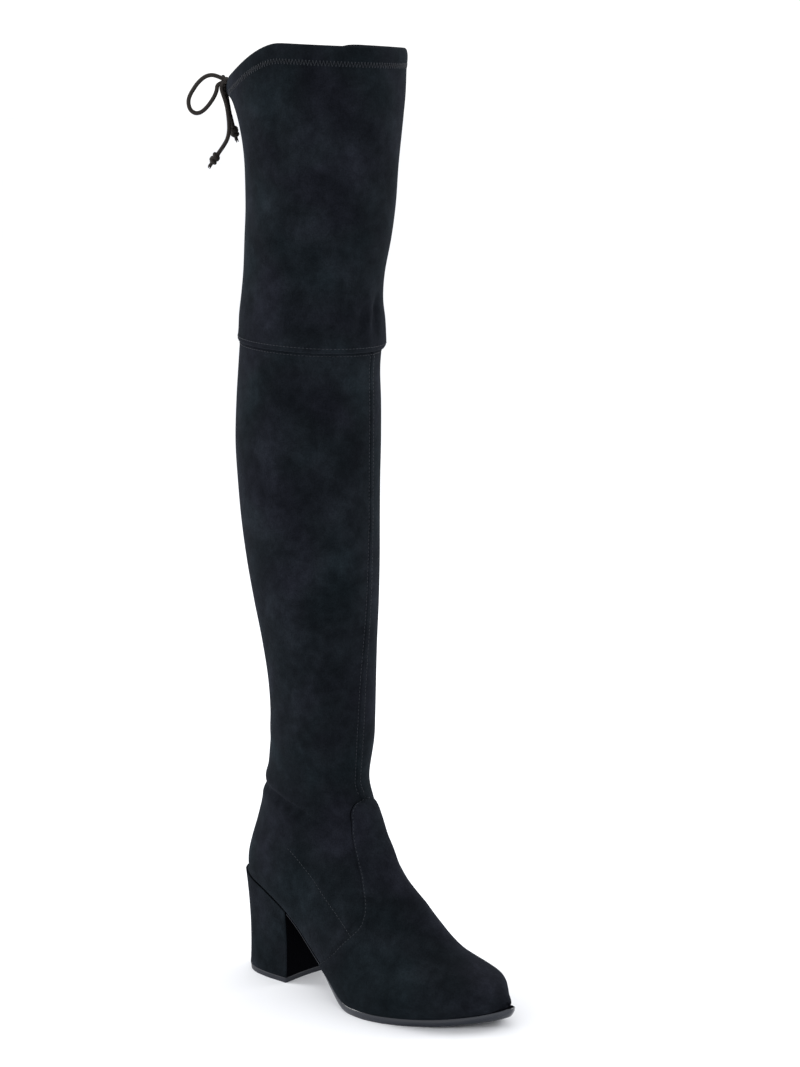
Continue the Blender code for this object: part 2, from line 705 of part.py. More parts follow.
def make_insole():
    outer, inner = feather_outline()
    outer, inner = offset_outline(outer, inner, np.full(len(FOOT), -(UPPER_WALL + INSOLE_MARGIN)))
    slab("insole", outer, inner, GAP + INSOLE_THICKNESS, INSOLE_THICKNESS, "lining")


def heel_outline(level):
    """Outline of the heel block at a level from the ground (0) to the seat (1), outer side."""
    outer, inner = feather_outline()
    outer, inner = offset_outline(outer, inner, np.full(len(FOOT), HEEL_CUP_LIP))
    rows = range(BREAST_ROW)
    back_top, breast = outer[0][1], BREAST_AHEAD - GAP
    back_low = BREAST_AHEAD - HEEL_LENGTH
    waist = HEEL_WAIST * level * (level - 1)
    sides = []
    for side, sign in ((outer, -1), (inner, 1)):
        points = []
        for i in list(rows) + [None]:
            x, ahead = (side[i] if i is not None else (side[BREAST_ROW - 1][0], breast))
            t = (ahead - back_top) / (breast - back_top)
            low_ahead = back_low + t * HEEL_LENGTH
            full = abs(x) / abs(side[BREAST_ROW - 1][0])
            low_x = sign * full * HEEL_WIDTH / 2
            px = low_x + (x - low_x) * level
            pa = low_ahead + (ahead - low_ahead) * level ** 1.5
            points.append((px + sign * full * waist, pa - waist * (1 - t)))
        sides.append(np.array(points))
    return sides


def heel_block(name, level_heights, slot, inset=0.0):
    """Stack of outlines, each given by its level and its height as a function of ahead."""
    skin = Skin()
    rings = []
    for level, height in level_heights:
        outer, inner = heel_outline(level)
        lines = []
        for a, b in zip(outer, inner):
            share = np.linspace(0, 1, 5)[:, None]
            points = a + (b - a) * share
            lines.append([(p[0] * (1 - inset), -p[1], height(p[1])) for p in points])
        hollow = BREAST_HOLLOW * np.sin(np.linspace(0, math.pi, 5))
        lines[-1] = [(p[0], p[1] + h, height(-p[1] - h)) for p, h in zip(lines[-1], hollow)]
        rings.append(lines)
    skin.sheet(rings[-1])
    skin.sheet(rings[0], flip=True)
    for low, top in zip(rings[:-1], rings[1:]):
        for i in range(len(low) - 1):
            skin.face(top[i][0], top[i + 1][0], low[i + 1][0], low[i][0])
            skin.face(top[i + 1][-1], top[i][-1], low[i][-1], low[i + 1][-1])
        skin.band(top[-1], low[-1])
        skin.band(low[0], top[0])
    return add_mesh(name, skin.points, skin.faces, slot)


def seat_height(ahead):
    return sole_top_at(share_of(ahead)) - GAP


def make_heel():
    def height_at(level):
        base = TOP_PIECE_THICKNESS + GAP
        return lambda ahead: base + level * (seat_height(ahead) - base)

    heel_block("heel_block", [(v, height_at(v)) for v in (0.0, 0.33, 0.66, 1.0)], "suede")
    flat = [(0.0, lambda ahead: 0.0), (0.0, lambda ahead: TOP_PIECE_THICKNESS)]
    heel_block("heel_top_piece", flat, "rubber", TOP_PIECE_INSET)


def bow_frame():
    """The drawstring's exit and the ways out, up and deep, one cord diameter long each."""
    exit_point = thigh_ring(THIGH[-1], SIDE_COLUMNS)[1]
    exit_point[2] += GAP + CASING_HEIGHT / 2
    c, s = math.cos(BOW_BEARING), math.sin(BOW_BEARING)
    ways = np.array([[-s, c, 0.0], [0.0, 0.0, 1.0], [c, s, 0.0]]) * CORD_DIAMETER
    return exit_point, ways


def smooth_route(points, spacing):
    """Even points along a smooth curve through the route's points."""
    padded = np.concatenate([[2 * points[0] - points[1]], points,
                             [2 * points[-1] - points[-2]]])
    line = []
    for before, a, b, after in zip(padded[:-3], padded[1:-2], padded[2:-1], padded[3:]):
        for t in np.arange(0, 1, 0.1):
            line.append(0.5 * (2 * a + (b - before) * t
                               + (2 * before - 5 * a + 4 * b - after) * t * t
                               + (3 * a - before - 3 * b + after) * t ** 3))
    line = np.array(line + [points[-1]])
    length = side_length(line)
    count = max(4, round(length / spacing))
    return spread(line, np.linspace(0, length, count + 1))


def make_cord(name, route):
    start, ways = bow_frame()
    points = smooth_route(start + np.array(route) @ ways, CORD_DIAMETER)
    curve = bpy.data.curves.new(name, "CURVE")
    curve.dimensions = "3D"
    curve.bevel_depth = CORD_DIAMETER / 2
    curve.bevel_resolution = 2
    curve.render_resolution_u = 0
    curve.use_fill_caps = True
    spline = curve.splines.new("POLY")
    spline.points.add(len(points) - 1)
    for made, p in zip(spline.points, points):
        made.co = (*p, 1.0)
    cord = bpy.data.objects.new(name, curve)
    curve.materials.append(material("cord"))
    bpy.context.scene.collection.objects.link(cord)


def make_knot(name, base, way, profile):
    """A turned solid from a base point along a way, with the profile in cord diameters."""
    way = way / np.linalg.norm(way)
    across = np.cross(way, (0.0, 1.0, 0.0))
    across /= np.linalg.norm(across)
    other = np.cross(way, across)
    turn = np.linspace(0, 2 * math.pi, 13)[:, None]
    ring = np.cos(turn) * across + np.sin(turn) * other
    ring[-1] = ring[0]
    skin = Skin()
    skin.sheet([base + (way * along + ring * radius) * CORD_DIAMETER
                for along, radius in profile])
    add_mesh(name, skin.points, skin.faces, "cord")


def make_bow():
    start, ways = bow_frame()
    for name, route in (("bow_loop_outer", OUTER_LOOP), ("bow_loop_inner", INNER_LOOP),
                        ("tail_outer", OUTER_TAIL), ("tail_inner", INNER_TAIL)):
        make_cord(name, route)
    up = np.array([0.0, 0.0, 1.0])
    low = start + np.array(KNOT_MIDDLE) @ ways - up * CORD_DIAMETER * BOW_KNOT[-1][0] / 2
    make_knot("bow_knot", low, up, BOW_KNOT)
    for name, route in (("tail_knot_outer", OUTER_TAIL), ("tail_knot_inner", INNER_TAIL)):
        end, before = (start + np.array(p) @ ways for p in (route[-1], route[-2]))
        way = (end - before) / np.linalg.norm(end - before)
        make_knot(name, end + way * GAP, way, END_KNOT)


def main():
    clear_scene()
    make_outsole()
    make_heel()
    make_insole()
    make_upper()
    make_vamp()
    make_thigh()
    make_casing()
    make_bow()


main()
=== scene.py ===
"""Looks of the thigh-high boot, in the part's own frame.

Metres, +Z up, the toe points to -Y and the foot's outer side is -X. "Ahead" is the distance from
the origin towards the toe. The boot's surfaces are built again at a fine spacing from the part's
own sizes, and creases, seams and stitches are laid on them.
"""

import math

import bmesh
import bpy
import numpy as np
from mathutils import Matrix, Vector
from mathutils.bvhtree import BVHTree


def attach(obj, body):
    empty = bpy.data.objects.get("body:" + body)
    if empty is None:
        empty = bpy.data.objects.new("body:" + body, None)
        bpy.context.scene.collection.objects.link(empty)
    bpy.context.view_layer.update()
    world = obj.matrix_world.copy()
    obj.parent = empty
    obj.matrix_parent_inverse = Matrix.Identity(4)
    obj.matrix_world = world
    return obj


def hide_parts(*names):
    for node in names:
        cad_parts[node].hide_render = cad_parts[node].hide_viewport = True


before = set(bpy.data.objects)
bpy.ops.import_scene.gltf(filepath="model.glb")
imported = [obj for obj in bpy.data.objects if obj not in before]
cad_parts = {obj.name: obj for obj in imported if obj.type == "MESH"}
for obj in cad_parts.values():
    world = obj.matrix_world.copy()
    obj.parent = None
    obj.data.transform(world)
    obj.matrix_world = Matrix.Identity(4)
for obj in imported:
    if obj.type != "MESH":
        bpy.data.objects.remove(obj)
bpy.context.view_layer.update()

# The part's own sizes, repeated.
FOOT_LENGTH = 0.2375
HEEL_OVERHANG = 0.030
BALL_WIDTH = 0.084
HEEL_HEIGHT = 0.0775
INSTEP_HEIGHT = 0.102
TOE_SPRING = 0.0093
SOLE_THICKNESS = 0.0054
SOLE_EDGE = 0.0017
TOP_PIECE_THICKNESS = 0.0038
HEEL_LENGTH = 0.0522
HEEL_WIDTH = 0.053
HEEL_CUP_LIP = 0.0009
HEEL_WAIST = 0.0048
BREAST_AHEAD = 0.025
BREAST_HOLLOW = 0.002
ANKLE_RISE = 0.0885
ANKLE_DEPTH = 0.0865
ANKLE_WIDTH = 0.0630
CALF_DEPTH = 0.1080
CALF_WIDTH = 0.1004
KNEE_DEPTH = 0.1020
KNEE_WIDTH = 0.0964
THIGH_DEPTH = 0.1230
THIGH_WIDTH = 0.1150
SEAT_TO_KNEE = 0.3925
KNEE_TO_CASING = 0.1975
CASING_HEIGHT = 0.0115
CASING_THICKNESS = 0.0040
CASING_PROUD = 0.0006
SEAM_TILT = 0.006
LEG_TWIST = math.radians(10.5)
COLLAR_TURN = math.radians(17)
KNEE_SLUMP = 0.0035
COLLAR_DIP = 0.0245
COLLAR_PINCH = 0.0085
COLLAR_FRONT_DIP = 0.003
UPPER_WALL = 0.0018
VAMP_STEP = 0.0020
GAP = 0.0003
CORD_DIAMETER = 0.003
BOW_BEARING = math.radians(42.6)
# Spread of the collar's dip and pinch to either side of its lowest point.
DIP_SPREAD = 85 / 90
PINCH_SPREAD = math.radians(30)

# Tables of sections, repeated from the part, with the same columns.
FOOT = [
    # ahead edge_out edge_in drop spring top_ahead rise out    in    ridge wide  arch
    (0.000,  0.000,  0.000, 1.000, 0.00, 0.549, 0.982,  0.384,  0.367, 0.000, 0.35, 2.00),
    (0.010,  0.150,  0.145, 0.990, 0.00, 0.568, 0.920,  0.386,  0.364, 0.000, 0.35, 1.98),
    (0.034,  0.232,  0.226, 0.965, 0.00, 0.590, 0.864,  0.387,  0.360, 0.003, 0.35, 1.96),
    (0.076,  0.290,  0.285, 0.924, 0.00, 0.613, 0.808,  0.388,  0.357, 0.006, 0.35, 1.94),
    (0.135,  0.317,  0.312, 0.854, 0.00, 0.638, 0.756,  0.388,  0.356, 0.012, 0.35, 1.92),
    (0.196,  0.320,  0.312, 0.748, 0.00, 0.663, 0.710,  0.388,  0.358, 0.018, 0.34, 1.90),
    (0.236,  0.322,  0.303, 0.666, 0.00, 0.682, 0.676,  0.388,  0.360, 0.024, 0.35, 1.88),
    (0.290,  0.333,  0.278, 0.544, 0.00, 0.706, 0.629,  0.408,  0.365, 0.032, 0.34, 1.86),
    (0.362,  0.361,  0.249, 0.361, 0.00, 0.735, 0.571,  0.446,  0.381, 0.044, 0.33, 1.86),
    (0.446,  0.413,  0.259, 0.180, 0.00, 0.768, 0.498,  0.488,  0.404, 0.056, 0.33, 1.88),
    (0.531,  0.480,  0.313, 0.015, 0.00, 0.804, 0.428,  0.522,  0.436, 0.070, 0.33, 1.92),
    (0.606,  0.518,  0.390, 0.000, 0.00, 0.838, 0.375,  0.536,  0.462, 0.084, 0.33, 1.96),
    (0.674,  0.500,  0.446, 0.000, 0.00, 0.867, 0.328,  0.517,  0.484, 0.098, 0.34, 2.00),
    (0.737,  0.434,  0.464, 0.000, 0.00, 0.895, 0.286,  0.458,  0.486, 0.112, 0.35, 2.02),
    (0.792,  0.347,  0.450, 0.000, 0.03, 0.918, 0.252,  0.378,  0.464, 0.120, 0.36, 2.02),
    (0.842,  0.258,  0.410, 0.000, 0.12, 0.940, 0.212,  0.294,  0.410, 0.128, 0.37, 2.02),
    (0.888,  0.156,  0.360, 0.000, 0.26, 0.957, 0.161,  0.194,  0.348, 0.136, 0.39, 2.02),
    (0.930,  0.052,  0.318, 0.000, 0.44, 0.973, 0.113,  0.092,  0.286, 0.141, 0.41, 2.02),
    (0.966, -0.038,  0.262, 0.000, 0.68, 0.986, 0.072, -0.014,  0.242, 0.144, 0.44, 2.00),
    (0.990, -0.082,  0.212, 0.000, 0.90, 0.995, 0.038, -0.090,  0.200, 0.146, 0.47, 2.00),
    (1.000, -0.147,  0.147, 0.000, 1.00, 1.001, 0.014, -0.147,  0.147, 0.147, 0.50, 2.00),
]
BREAST_ROW = 6
ANKLE = [
    # back  back_up front rise  width wide ridge
    (0.096, 1.000, 0.450, 1.407, 1.000, 0.50, -0.063),
    (0.082, 0.810, 0.450, 1.317, 1.005, 0.50, -0.048),
    (0.061, 0.620, 0.466, 1.245, 1.010, 0.50, -0.026),
    (0.038, 0.435, 0.489, 1.178, 1.005, 0.46, -0.012),
    (0.013, 0.265, 0.511, 1.112, 0.995, 0.42,  0.000),
    (-0.003, 0.115, 0.530, 1.050, 0.985, 0.38,  0.000),
]
LEG = [
    # up    middle grow twist tilt
    (1.000, 0.243, 0.88,  1.00, 1.0),
    (0.955, 0.236, 0.89,  1.00, 0.7),
    (0.893, 0.233, 0.97,  1.00, 0.3),
    (0.819, 0.230, 1.00,  1.00, 0.0),
    (0.748, 0.232, 0.93,  1.00, 0.0),
    (0.674, 0.238, 0.84,  0.93, 0.0),
    (0.601, 0.248, 0.71,  0.68, 0.0),
    (0.526, 0.260, 0.51,  0.40, 0.0),
    (0.452, 0.272, 0.27,  0.00, 0.0),
    (0.380, 0.282, 0.09, -0.40, 0.0),
    (0.319, 0.285, 0.01, -0.58, 0.0),
    (0.272, 0.281, 0.00, -0.62, 0.0),
]
THIGH = [
    # up    middle grow slump tilt pull
    (0.000, 0.242, 0.16, 0.55, 1.0, 0.00),
    (0.030, 0.242, 0.19, 1.00, 1.0, 0.00),
    (0.095, 0.243, 0.15, 0.90, 0.8, 0.00),
    (0.170, 0.247, 0.03, 0.45, 0.6, 0.00),
    (0.260, 0.258, 0.04, 0.10, 0.4, 0.00),
    (0.380, 0.275, 0.22, 0.00, 0.2, 0.00),
    (0.500, 0.287, 0.33, 0.00, 0.1, 0.00),
    (0.640, 0.291, 0.46, 0.00, 0.0, 0.02),
    (0.780, 0.290, 0.76, 0.00, 0.0, 0.12),
    (0.890, 0.289, 0.98, 0.00, 0.0, 0.40),
    (1.000, 0.291, 1.02, 0.00, 0.0, 1.00),
]
VAMP_EDGE = [
    # ahead  up
    (0.4740, 1.420),
    (0.4620, 1.409),
    (0.4565, 1.388),
    (0.4570, 1.330),
    (0.4640, 1.263),
    (0.4710, 1.175),
    (0.4820, 1.086),
    (0.5010, 0.981),
    (0.5180, 0.904),
    (0.5340, 0.823),
    (0.5490, 0.748),
    (0.5570, 0.676),
    (0.5560, 0.586),
    (0.5340, 0.512),
    (0.5060, 0.440),
    (0.4800, 0.370),
    (0.4400, 0.302),
    (0.4040, 0.250),
]

# Routes of the bow in cord diameters from the drawstring's exit: out, up, deep.
OUTER_LOOP = [
    (2.47, 2.15, 0.05), (3.70, 2.45, 0.10), (5.25, 2.10, 0.25), (6.90, 0.80, 0.45),
    (8.15, -0.85, 0.65), (9.10, -2.50, 0.80), (9.40, -4.00, 0.90), (8.95, -5.65, 0.90),
    (7.75, -6.45, 0.85), (6.45, -6.20, 0.75), (5.15, -5.15, 0.65), (3.95, -3.65, 0.50),
    (3.05, -2.15, 0.35), (2.60, -0.85, 0.20), (2.42, 0.20, 0.10),
]
INNER_LOOP = [
    (1.20, 2.00, 1.13), (1.05, 1.40, 2.50), (0.75, -1.20, 3.80), (0.40, -3.60, 4.45),
    (0.00, -6.00, 4.60), (-0.30, -7.70, 4.20), (-0.40, -8.30, 3.50), (-0.25, -7.50, 2.90),
    (0.00, -5.70, 2.70), (0.35, -3.60, 2.55), (0.80, -1.60, 2.35), (1.20, -0.10, 1.95),
    (1.35, 0.95, 1.25),
]
OUTER_TAIL = [
    (1.55, -0.05, -0.30), (1.40, -1.20, -0.25), (0.95, -2.60, -0.10), (0.40, -4.40, 0.00),
    (0.05, -6.50, 0.00), (-0.15, -8.60, 0.00), (-0.15, -10.50, 0.00), (0.25, -12.40, 0.00),
    (1.30, -14.20, 0.00), (2.55, -15.95, 0.00),
]
INNER_TAIL = [
    (1.00, -0.10, 0.65), (0.95, -1.50, 1.00), (0.55, -3.40, 1.30), (-0.05, -5.70, 1.40),
    (-0.55, -7.70, 1.70), (-0.95, -9.50, 2.25),
]
KNOT_MIDDLE = (0.40, 1.15, 0.00)
# Short ends that run into the knot: start and end of each route.
KNOT_ENDS = {
    "bow_loop_outer": ([(0.95, 1.50, 0.05)], [(1.00, 0.80, 0.08)]),
    "bow_loop_inner": ([], []),
    "tail_outer": ([(0.75, 0.80, -0.20)], []),
    "tail_inner": ([], []),
}

# Fineness of the surfaces: steps for each row of a table, and columns of a side.
LEG_STEPS, ANKLE_STEPS, FOOT_STEPS, THIGH_STEPS = 9, 16, 7, 9
PLAN_STEPS = 14
VAMP_COLUMNS = 34
SIDE_COLUMNS = 44
SEAM_COLUMNS = (0.0, 0.0008, 0.0013, 0.0017, 0.0021, 0.0027, 0.0036)
FRONT = SIDE_COLUMNS + len(SEAM_COLUMNS) - 1

# Creases and swells. Each is a line on a piece through points (around, height): around is the
# share of the way from the front seam to the back, negative on the outer side. width is the
# half width and depth the greatest depth of a trough, or height of a swell if negative.
LEG_CREASES = [
    # width   depth    line
    (0.0030,  0.0021,  [(-1.00, 0.150), (-0.76, 0.1446), (-0.62, 0.1425), (-0.55, 0.140),
                        (-0.42, 0.1352), (-0.33, 0.1287), (-0.22, 0.1250)]),
    (0.0035,  0.0016,  [(-0.68, 0.1435), (-0.52, 0.1385), (-0.38, 0.132), (-0.20, 0.122)]),
    (0.0045, -0.0010,  [(-1.00, 0.158), (-0.76, 0.152), (-0.58, 0.148), (-0.42, 0.142)]),
    (0.0045, -0.0007,  [(-1.00, 0.142), (-0.76, 0.138), (-0.58, 0.134), (-0.40, 0.127)]),
    (0.0070,  0.0006,  [(-0.95, 0.182), (-0.70, 0.178), (-0.50, 0.170)]),
    (0.0060,  0.0005,  [(-0.50, 0.160), (-0.33, 0.152), (-0.20, 0.140)]),
    (0.0060,  0.0010,  [(0.98, 0.156), (0.80, 0.150), (0.58, 0.141), (0.40, 0.130)]),
    (0.0060, -0.0008,  [(0.99, 0.166), (0.80, 0.161), (0.58, 0.152)]),
    (0.0100,  0.0006,  [(-0.20, 0.440), (-0.32, 0.420), (-0.36, 0.395)]),
    (0.0110,  0.0005,  [(-0.70, 0.445), (-0.60, 0.425), (-0.62, 0.400)]),
    (0.0120,  0.0005,  [(0.30, 0.445), (0.42, 0.420), (0.40, 0.390)]),
    (0.0140, -0.0005,  [(-0.45, 0.340), (-0.50, 0.300), (-0.46, 0.260)]),
    (0.0120,  0.0004,  [(-0.22, 0.300), (-0.26, 0.260), (-0.24, 0.225)]),
]
THIGH_CREASES = [
    (0.0045,  0.0030,  [(-0.10, 0.498), (-0.13, 0.486), (-0.15, 0.474)]),
    (0.0045,  0.0028,  [(0.00, 0.506), (-0.035, 0.492), (-0.07, 0.478)]),
    (0.0050, -0.0014,  [(-0.05, 0.504), (-0.085, 0.490), (-0.11, 0.476)]),
    (0.0080,  0.0018,  [(-0.53, 0.655), (-0.55, 0.630), (-0.53, 0.600)]),
    (0.0120, -0.0014,  [(-0.44, 0.655), (-0.45, 0.630), (-0.44, 0.605)]),
    (0.0080, -0.0007,  [(-0.10, 0.478), (-0.24, 0.474), (-0.45, 0.474)]),
    (0.0100,  0.0006,  [(-0.50, 0.530), (-0.40, 0.512), (-0.30, 0.500)]),
    (0.0120,  0.0005,  [(-0.80, 0.560), (-0.68, 0.540), (-0.60, 0.515)]),
    (0.0110,  0.0005,  [(0.20, 0.500), (0.32, 0.490), (0.46, 0.486)]),
    (0.0140,  0.0006,  [(-0.30, 0.640), (-0.36, 0.610), (-0.34, 0.575)]),
    (0.0140,  0.0005,  [(-0.62, 0.650), (-0.58, 0.615), (-0.62, 0.585)]),
    (0.0090,  0.0010,  [(-0.96, 0.640), (-0.88, 0.620), (-0.84, 0.595)]),
    (0.0090,  0.0010,  [(0.92, 0.640), (0.84, 0.620), (0.80, 0.595)]),
]
FOOT_CREASES = [
    (0.0160,  0.0028,  [(0.02, 0.064), (0.04, 0.050), (0.06, 0.036), (0.08, 0.022)]),
    (0.0090, -0.0024,  [(0.00, 0.144), (0.02, 0.136), (0.04, 0.126)]),
    (0.0090, -0.0018,  [(0.03, 0.116), (0.05, 0.106), (0.06, 0.098)]),
    (0.0070,  0.0005,  [(-0.10, 0.078), (-0.30, 0.070), (-0.50, 0.058)]),
    (0.0080,  0.0004,  [(-0.10, 0.064), (-0.35, 0.052), (-0.60, 0.036)]),
    (0.0080,  0.0004,  [(0.10, 0.066), (0.35, 0.052), (0.60, 0.036)]),
]

# The raised strip down the front of the leg: half its width, and its height.
FRONT_SEAM_HALF = 0.0017
FRONT_SEAM_RISE = 0.0007

# How far the upper is drawn in over the sole, at the toe and all round, and towards where.
TUCK_AT_TOE, TUCK_FROM, TUCK_LENGTH, TUCK_HEIGHT = 0.0024, 0.130, 0.050, 0.010
TUCK_ALL_ROUND, TUCK_RISE = 0.0007, 0.004
TUCK_MIDDLE, TUCK_MIDDLE_AHEAD = 0.006, 0.170

# The vamp's edge: distance in from the edge, share of the step.
EDGE_PROFILE = [
    (0.0000, -0.25), (0.0003, 0.45), (0.0007, 0.88), (0.0011, 1.00), (0.0014, 0.96),
    (0.0018, 0.86), (0.0022, 0.97), (0.0030, 1.00),
]
# Fractional rows of the foot between which the vamp's edge curls back, and steps down to it.
CURL_START, CURL_END = 7.8, 8.7
PEAK_STEPS = (0.0, 0.004, 0.012, 0.025, 0.045, 0.07)

# The hem's round: share of its height, share of its thickness inwards. The allowance keeps it
# inside the part's own hem, and ripples gather round the drawstring's exit.
HEM_PROFILE = [
    (-0.02, 0.55), (0.00, 0.12), (0.03, 0.04), (0.10, 0.00), (0.30, -0.06), (0.55, -0.07),
    (0.75, 0.00), (0.88, 0.12), (0.96, 0.30), (1.00, 0.52), (0.97, 0.74), (0.88, 0.92),
    (0.70, 1.00), (0.35, 1.00), (0.0, 1.00),
]
HEM_ALLOWANCE = 0.0002
RIPPLE_DEPTH, RIPPLE_COUNT, GATHER_SPREAD = 0.0005, 26, 0.42

# The sole's edge: share of the sole's thickness, inset. From SOLE_LEDGE on it is painted shade.
SOLE_PROFILE = [
    (0.0, 0.0007), (0.06, 0.0003), (0.16, 0.0001), (0.5, 0.0), (0.84, 0.0001), (0.94, 0.0003),
    (0.99, 0.0007), (1.01, 0.0010), (1.06, 0.0013), (1.14, 0.0018), (1.14, 0.0030),
]
SOLE_LEDGE = 6
WAIST_BEVEL, TIP_BEVEL = 0.003, 0.0035

# The heel: its front corners, and the narrower foot of the cover over the top piece.
BREAST_CORNER = 0.0012
COVER_SHRINK, COVER_LIFT = 0.0007, 0.0006
# The top piece's edge: height, inset.
TIP_PROFILE = [(0.0, 0.0008), (0.0004, 0.0005), (TOP_PIECE_THICKNESS - 0.0004, 0.0003),
               (TOP_PIECE_THICKNESS, 0.0006)]

# Seams. The counter seam is seen from the side: ahead and height in metres.
COUNTER_SEAM = [(0.031, 0.105), (0.053, 0.089), (0.070, 0.074), (0.085, 0.062), (0.098, 0.0525)]
STITCH_LENGTH = 0.0020
STITCH_PITCH = 0.0027
STITCH_WIDTH = 0.00038
ZIGZAG_PITCH = 0.0024
ZIGZAG_WIDTH = 0.00034
ZIGZAG_TOP, ZIGZAG_FOOT = 0.0014, 0.0028
KNEE_STITCH_ABOVE, KNEE_STITCH_BELOW = 0.0036, 0.0028
FRONT_STITCH_COLUMN = 5


def set_camera():
    """The photograph's viewing angle and framing."""
    camera = bpy.data.objects.new("camera", bpy.data.cameras.new("camera"))
    bpy.context.scene.collection.objects.link(camera)
    camera.location = (-1.38436, -1.38791, 0.66)
    camera.rotation_euler = (math.radians(90 - 9.6), 0, math.radians(-47.38))
    camera.data.lens = 92.18
    camera.data.sensor_width = 36
    bpy.context.scene.camera = camera


# Reading of the tables.

def between(rows, at, start_mirror=None, end_mirror=None):
    """Smooth values of a table's columns at a fractional row.

    The mirrors give the rows beyond either end; without them the table runs on straight.
    """
    i = min(max(int(at), 0), len(rows) - 2)
    s = at - i
    a, b = rows[i], rows[i + 1]
    before = rows[i - 1] if i > 0 else (start_mirror if start_mirror is not None else 2 * a - b)
    last = i + 2 >= len(rows)
    after = (end_mirror if end_mirror is not None else 2 * b - a) if last else rows[i + 2]
    return 0.5 * (2 * a + (b - before) * s + (2 * before - 5 * a + 4 * b - after) * s * s
                  + (3 * a - before - 3 * b + after) * s ** 3)


def ahead_of(share):
    """Distance ahead of the origin at a share of the foot's length."""
    return share * FOOT_LENGTH - HEEL_OVERHANG


# Turns x, ahead, height into the part's frame, where ahead is -Y.
FACING = np.array([1, -1, 1])
LEG_MIDDLE = ahead_of(0.26)
FOOT_ROWS = np.array(FOOT)
# Rows beyond the heel's back and the toe tip, so that the plan outline is round there.
HEEL_MIRROR = FOOT_ROWS[1].copy()
HEEL_MIRROR[1:3] *= -1
TOE_MIRROR = FOOT_ROWS[-2].copy()
TOE_MIRROR[1:3] = 2 * FOOT_ROWS[-1][1:3] - FOOT_ROWS[-2][1:3]


def foot_row(at):
    return between(FOOT_ROWS, at, HEEL_MIRROR, TOE_MIRROR)


def row_sole_top(row):
    return SOLE_THICKNESS + row[3] * (HEEL_HEIGHT - SOLE_THICKNESS) + row[4] * TOE_SPRING


PLAN = np.array([foot_row(at) for at in np.linspace(0, len(FOOT) - 1,
                                                    (len(FOOT) - 1) * PLAN_STEPS + 1)])
PLAN_AHEAD = ahead_of(PLAN[:, 0])
PLAN_TOP = row_sole_top(PLAN.T)


def sole_top(ahead):
    return np.interp(ahead, PLAN_AHEAD, PLAN_TOP)


def oval_values(back, back_z, front, front_z, width, twist):
    """Values of an oval section, in the order in which section_sides reads them."""
    return (back, back_z, front, front_z, width / 2, width / 2, 0, 0.5, 2, 0, 0, twist)


def leg_values(up, middle, grow, twist, tilt):
    depth = ANKLE_DEPTH + grow * (CALF_DEPTH - ANKLE_DEPTH)
    width = ANKLE_WIDTH + grow * (CALF_WIDTH - ANKLE_WIDTH)
    height = HEEL_HEIGHT + up * SEAT_TO_KNEE
    centre = ahead_of(middle)
    lift = tilt * SEAM_TILT / 2
    return oval_values(centre - depth / 2, height + lift, centre + depth / 2, height - lift,
                       width, twist * LEG_TWIST)


def ankle_values(back, back_up, front, rise, width, wide, ridge):
    half = width * ANKLE_WIDTH / 2
    return (ahead_of(back), HEEL_HEIGHT + back_up * ANKLE_RISE, ahead_of(front),
            float(sole_top(ahead_of(front))) + rise * INSTEP_HEIGHT,
            half, half, ridge * ANKLE_WIDTH, wide, 2, 0, 0, 0)


def foot_values(row):
    (ahead, edge_out, edge_in, _, _, top_ahead, rise, out, inner, ridge, wide, arch) = row
    return (ahead_of(ahead), row_sole_top(row), ahead_of(top_ahead),
            float(sole_top(ahead_of(top_ahead))) + rise * INSTEP_HEIGHT,
            out * BALL_WIDTH, inner * BALL_WIDTH, ridge * BALL_WIDTH, wide, arch,
            edge_out * BALL_WIDTH, edge_in * BALL_WIDTH, 0)


SHAFT_ROWS = np.array([leg_values(*row) for row in LEG] + [ankle_values(*row) for row in ANKLE]
                      + [foot_values(FOOT_ROWS[0])])
HEEL_ROW = len(SHAFT_ROWS) - 1
TIP_ROW = HEEL_ROW + len(FOOT) - 1


def upper_values(at):
    """Values of the upper's section at a fractional row, from the knee seam to the toe tip."""
    if at <= HEEL_ROW:
        after = np.array(foot_values(FOOT_ROWS[1]))
        after[:2] = 2 * SHAFT_ROWS[-1][:2] - SHAFT_ROWS[-2][:2]
        values = between(SHAFT_ROWS, at, end_mirror=after)
        values[9:11] = 0
        if at >= len(LEG):
            values[11] = 0
        return values
    values = np.array(foot_values(foot_row(at - HEEL_ROW)))
    if at < HEEL_ROW + 1:
        first_rows = np.array([foot_values(row) for row in FOOT_ROWS[:3]])
        joined = between(first_rows, at - HEEL_ROW, start_mirror=SHAFT_ROWS[-2])
        values[2:9] = joined[2:9]
    return values


def section_sides(values, steps=48):
    """Both sides of a section from the front line on, rows of x, ahead, height."""
    (back, back_z, front, front_z, out, inner, ridge, wide, arch, edge_out, edge_in,
     twist) = values
    sides = []
    for half, edge, sign in ((out, edge_out, -1.0), (inner, edge_in, 1.0)):
        power = 2.0 / arch
        turn = np.linspace(math.pi / 2, 0, steps)
        x = ridge * sign - (ridge * sign - half) * np.cos(turn) ** power
        up = wide + (1 - wide) * np.sin(turn) ** power
        end = math.acos(min(max(edge / half, 0.0), 0.9999)) if half > 1e-6 else math.pi / 2
        low = np.linspace(0, end, steps)[1:]
        x = np.concatenate([x, half + (edge - half) * (1 - np.cos(low)) / (1 - math.cos(end))])
        up = np.concatenate([up, wide * (1 - np.sin(low) / math.sin(end))])
        sides.append(np.stack([sign * x, back + (front - back) * up,
                               back_z + (front_z - back_z) * up], axis=1))
    if abs(twist) > 1e-6:
        sides = turned_sides(sides, twist, steps)
    return sides


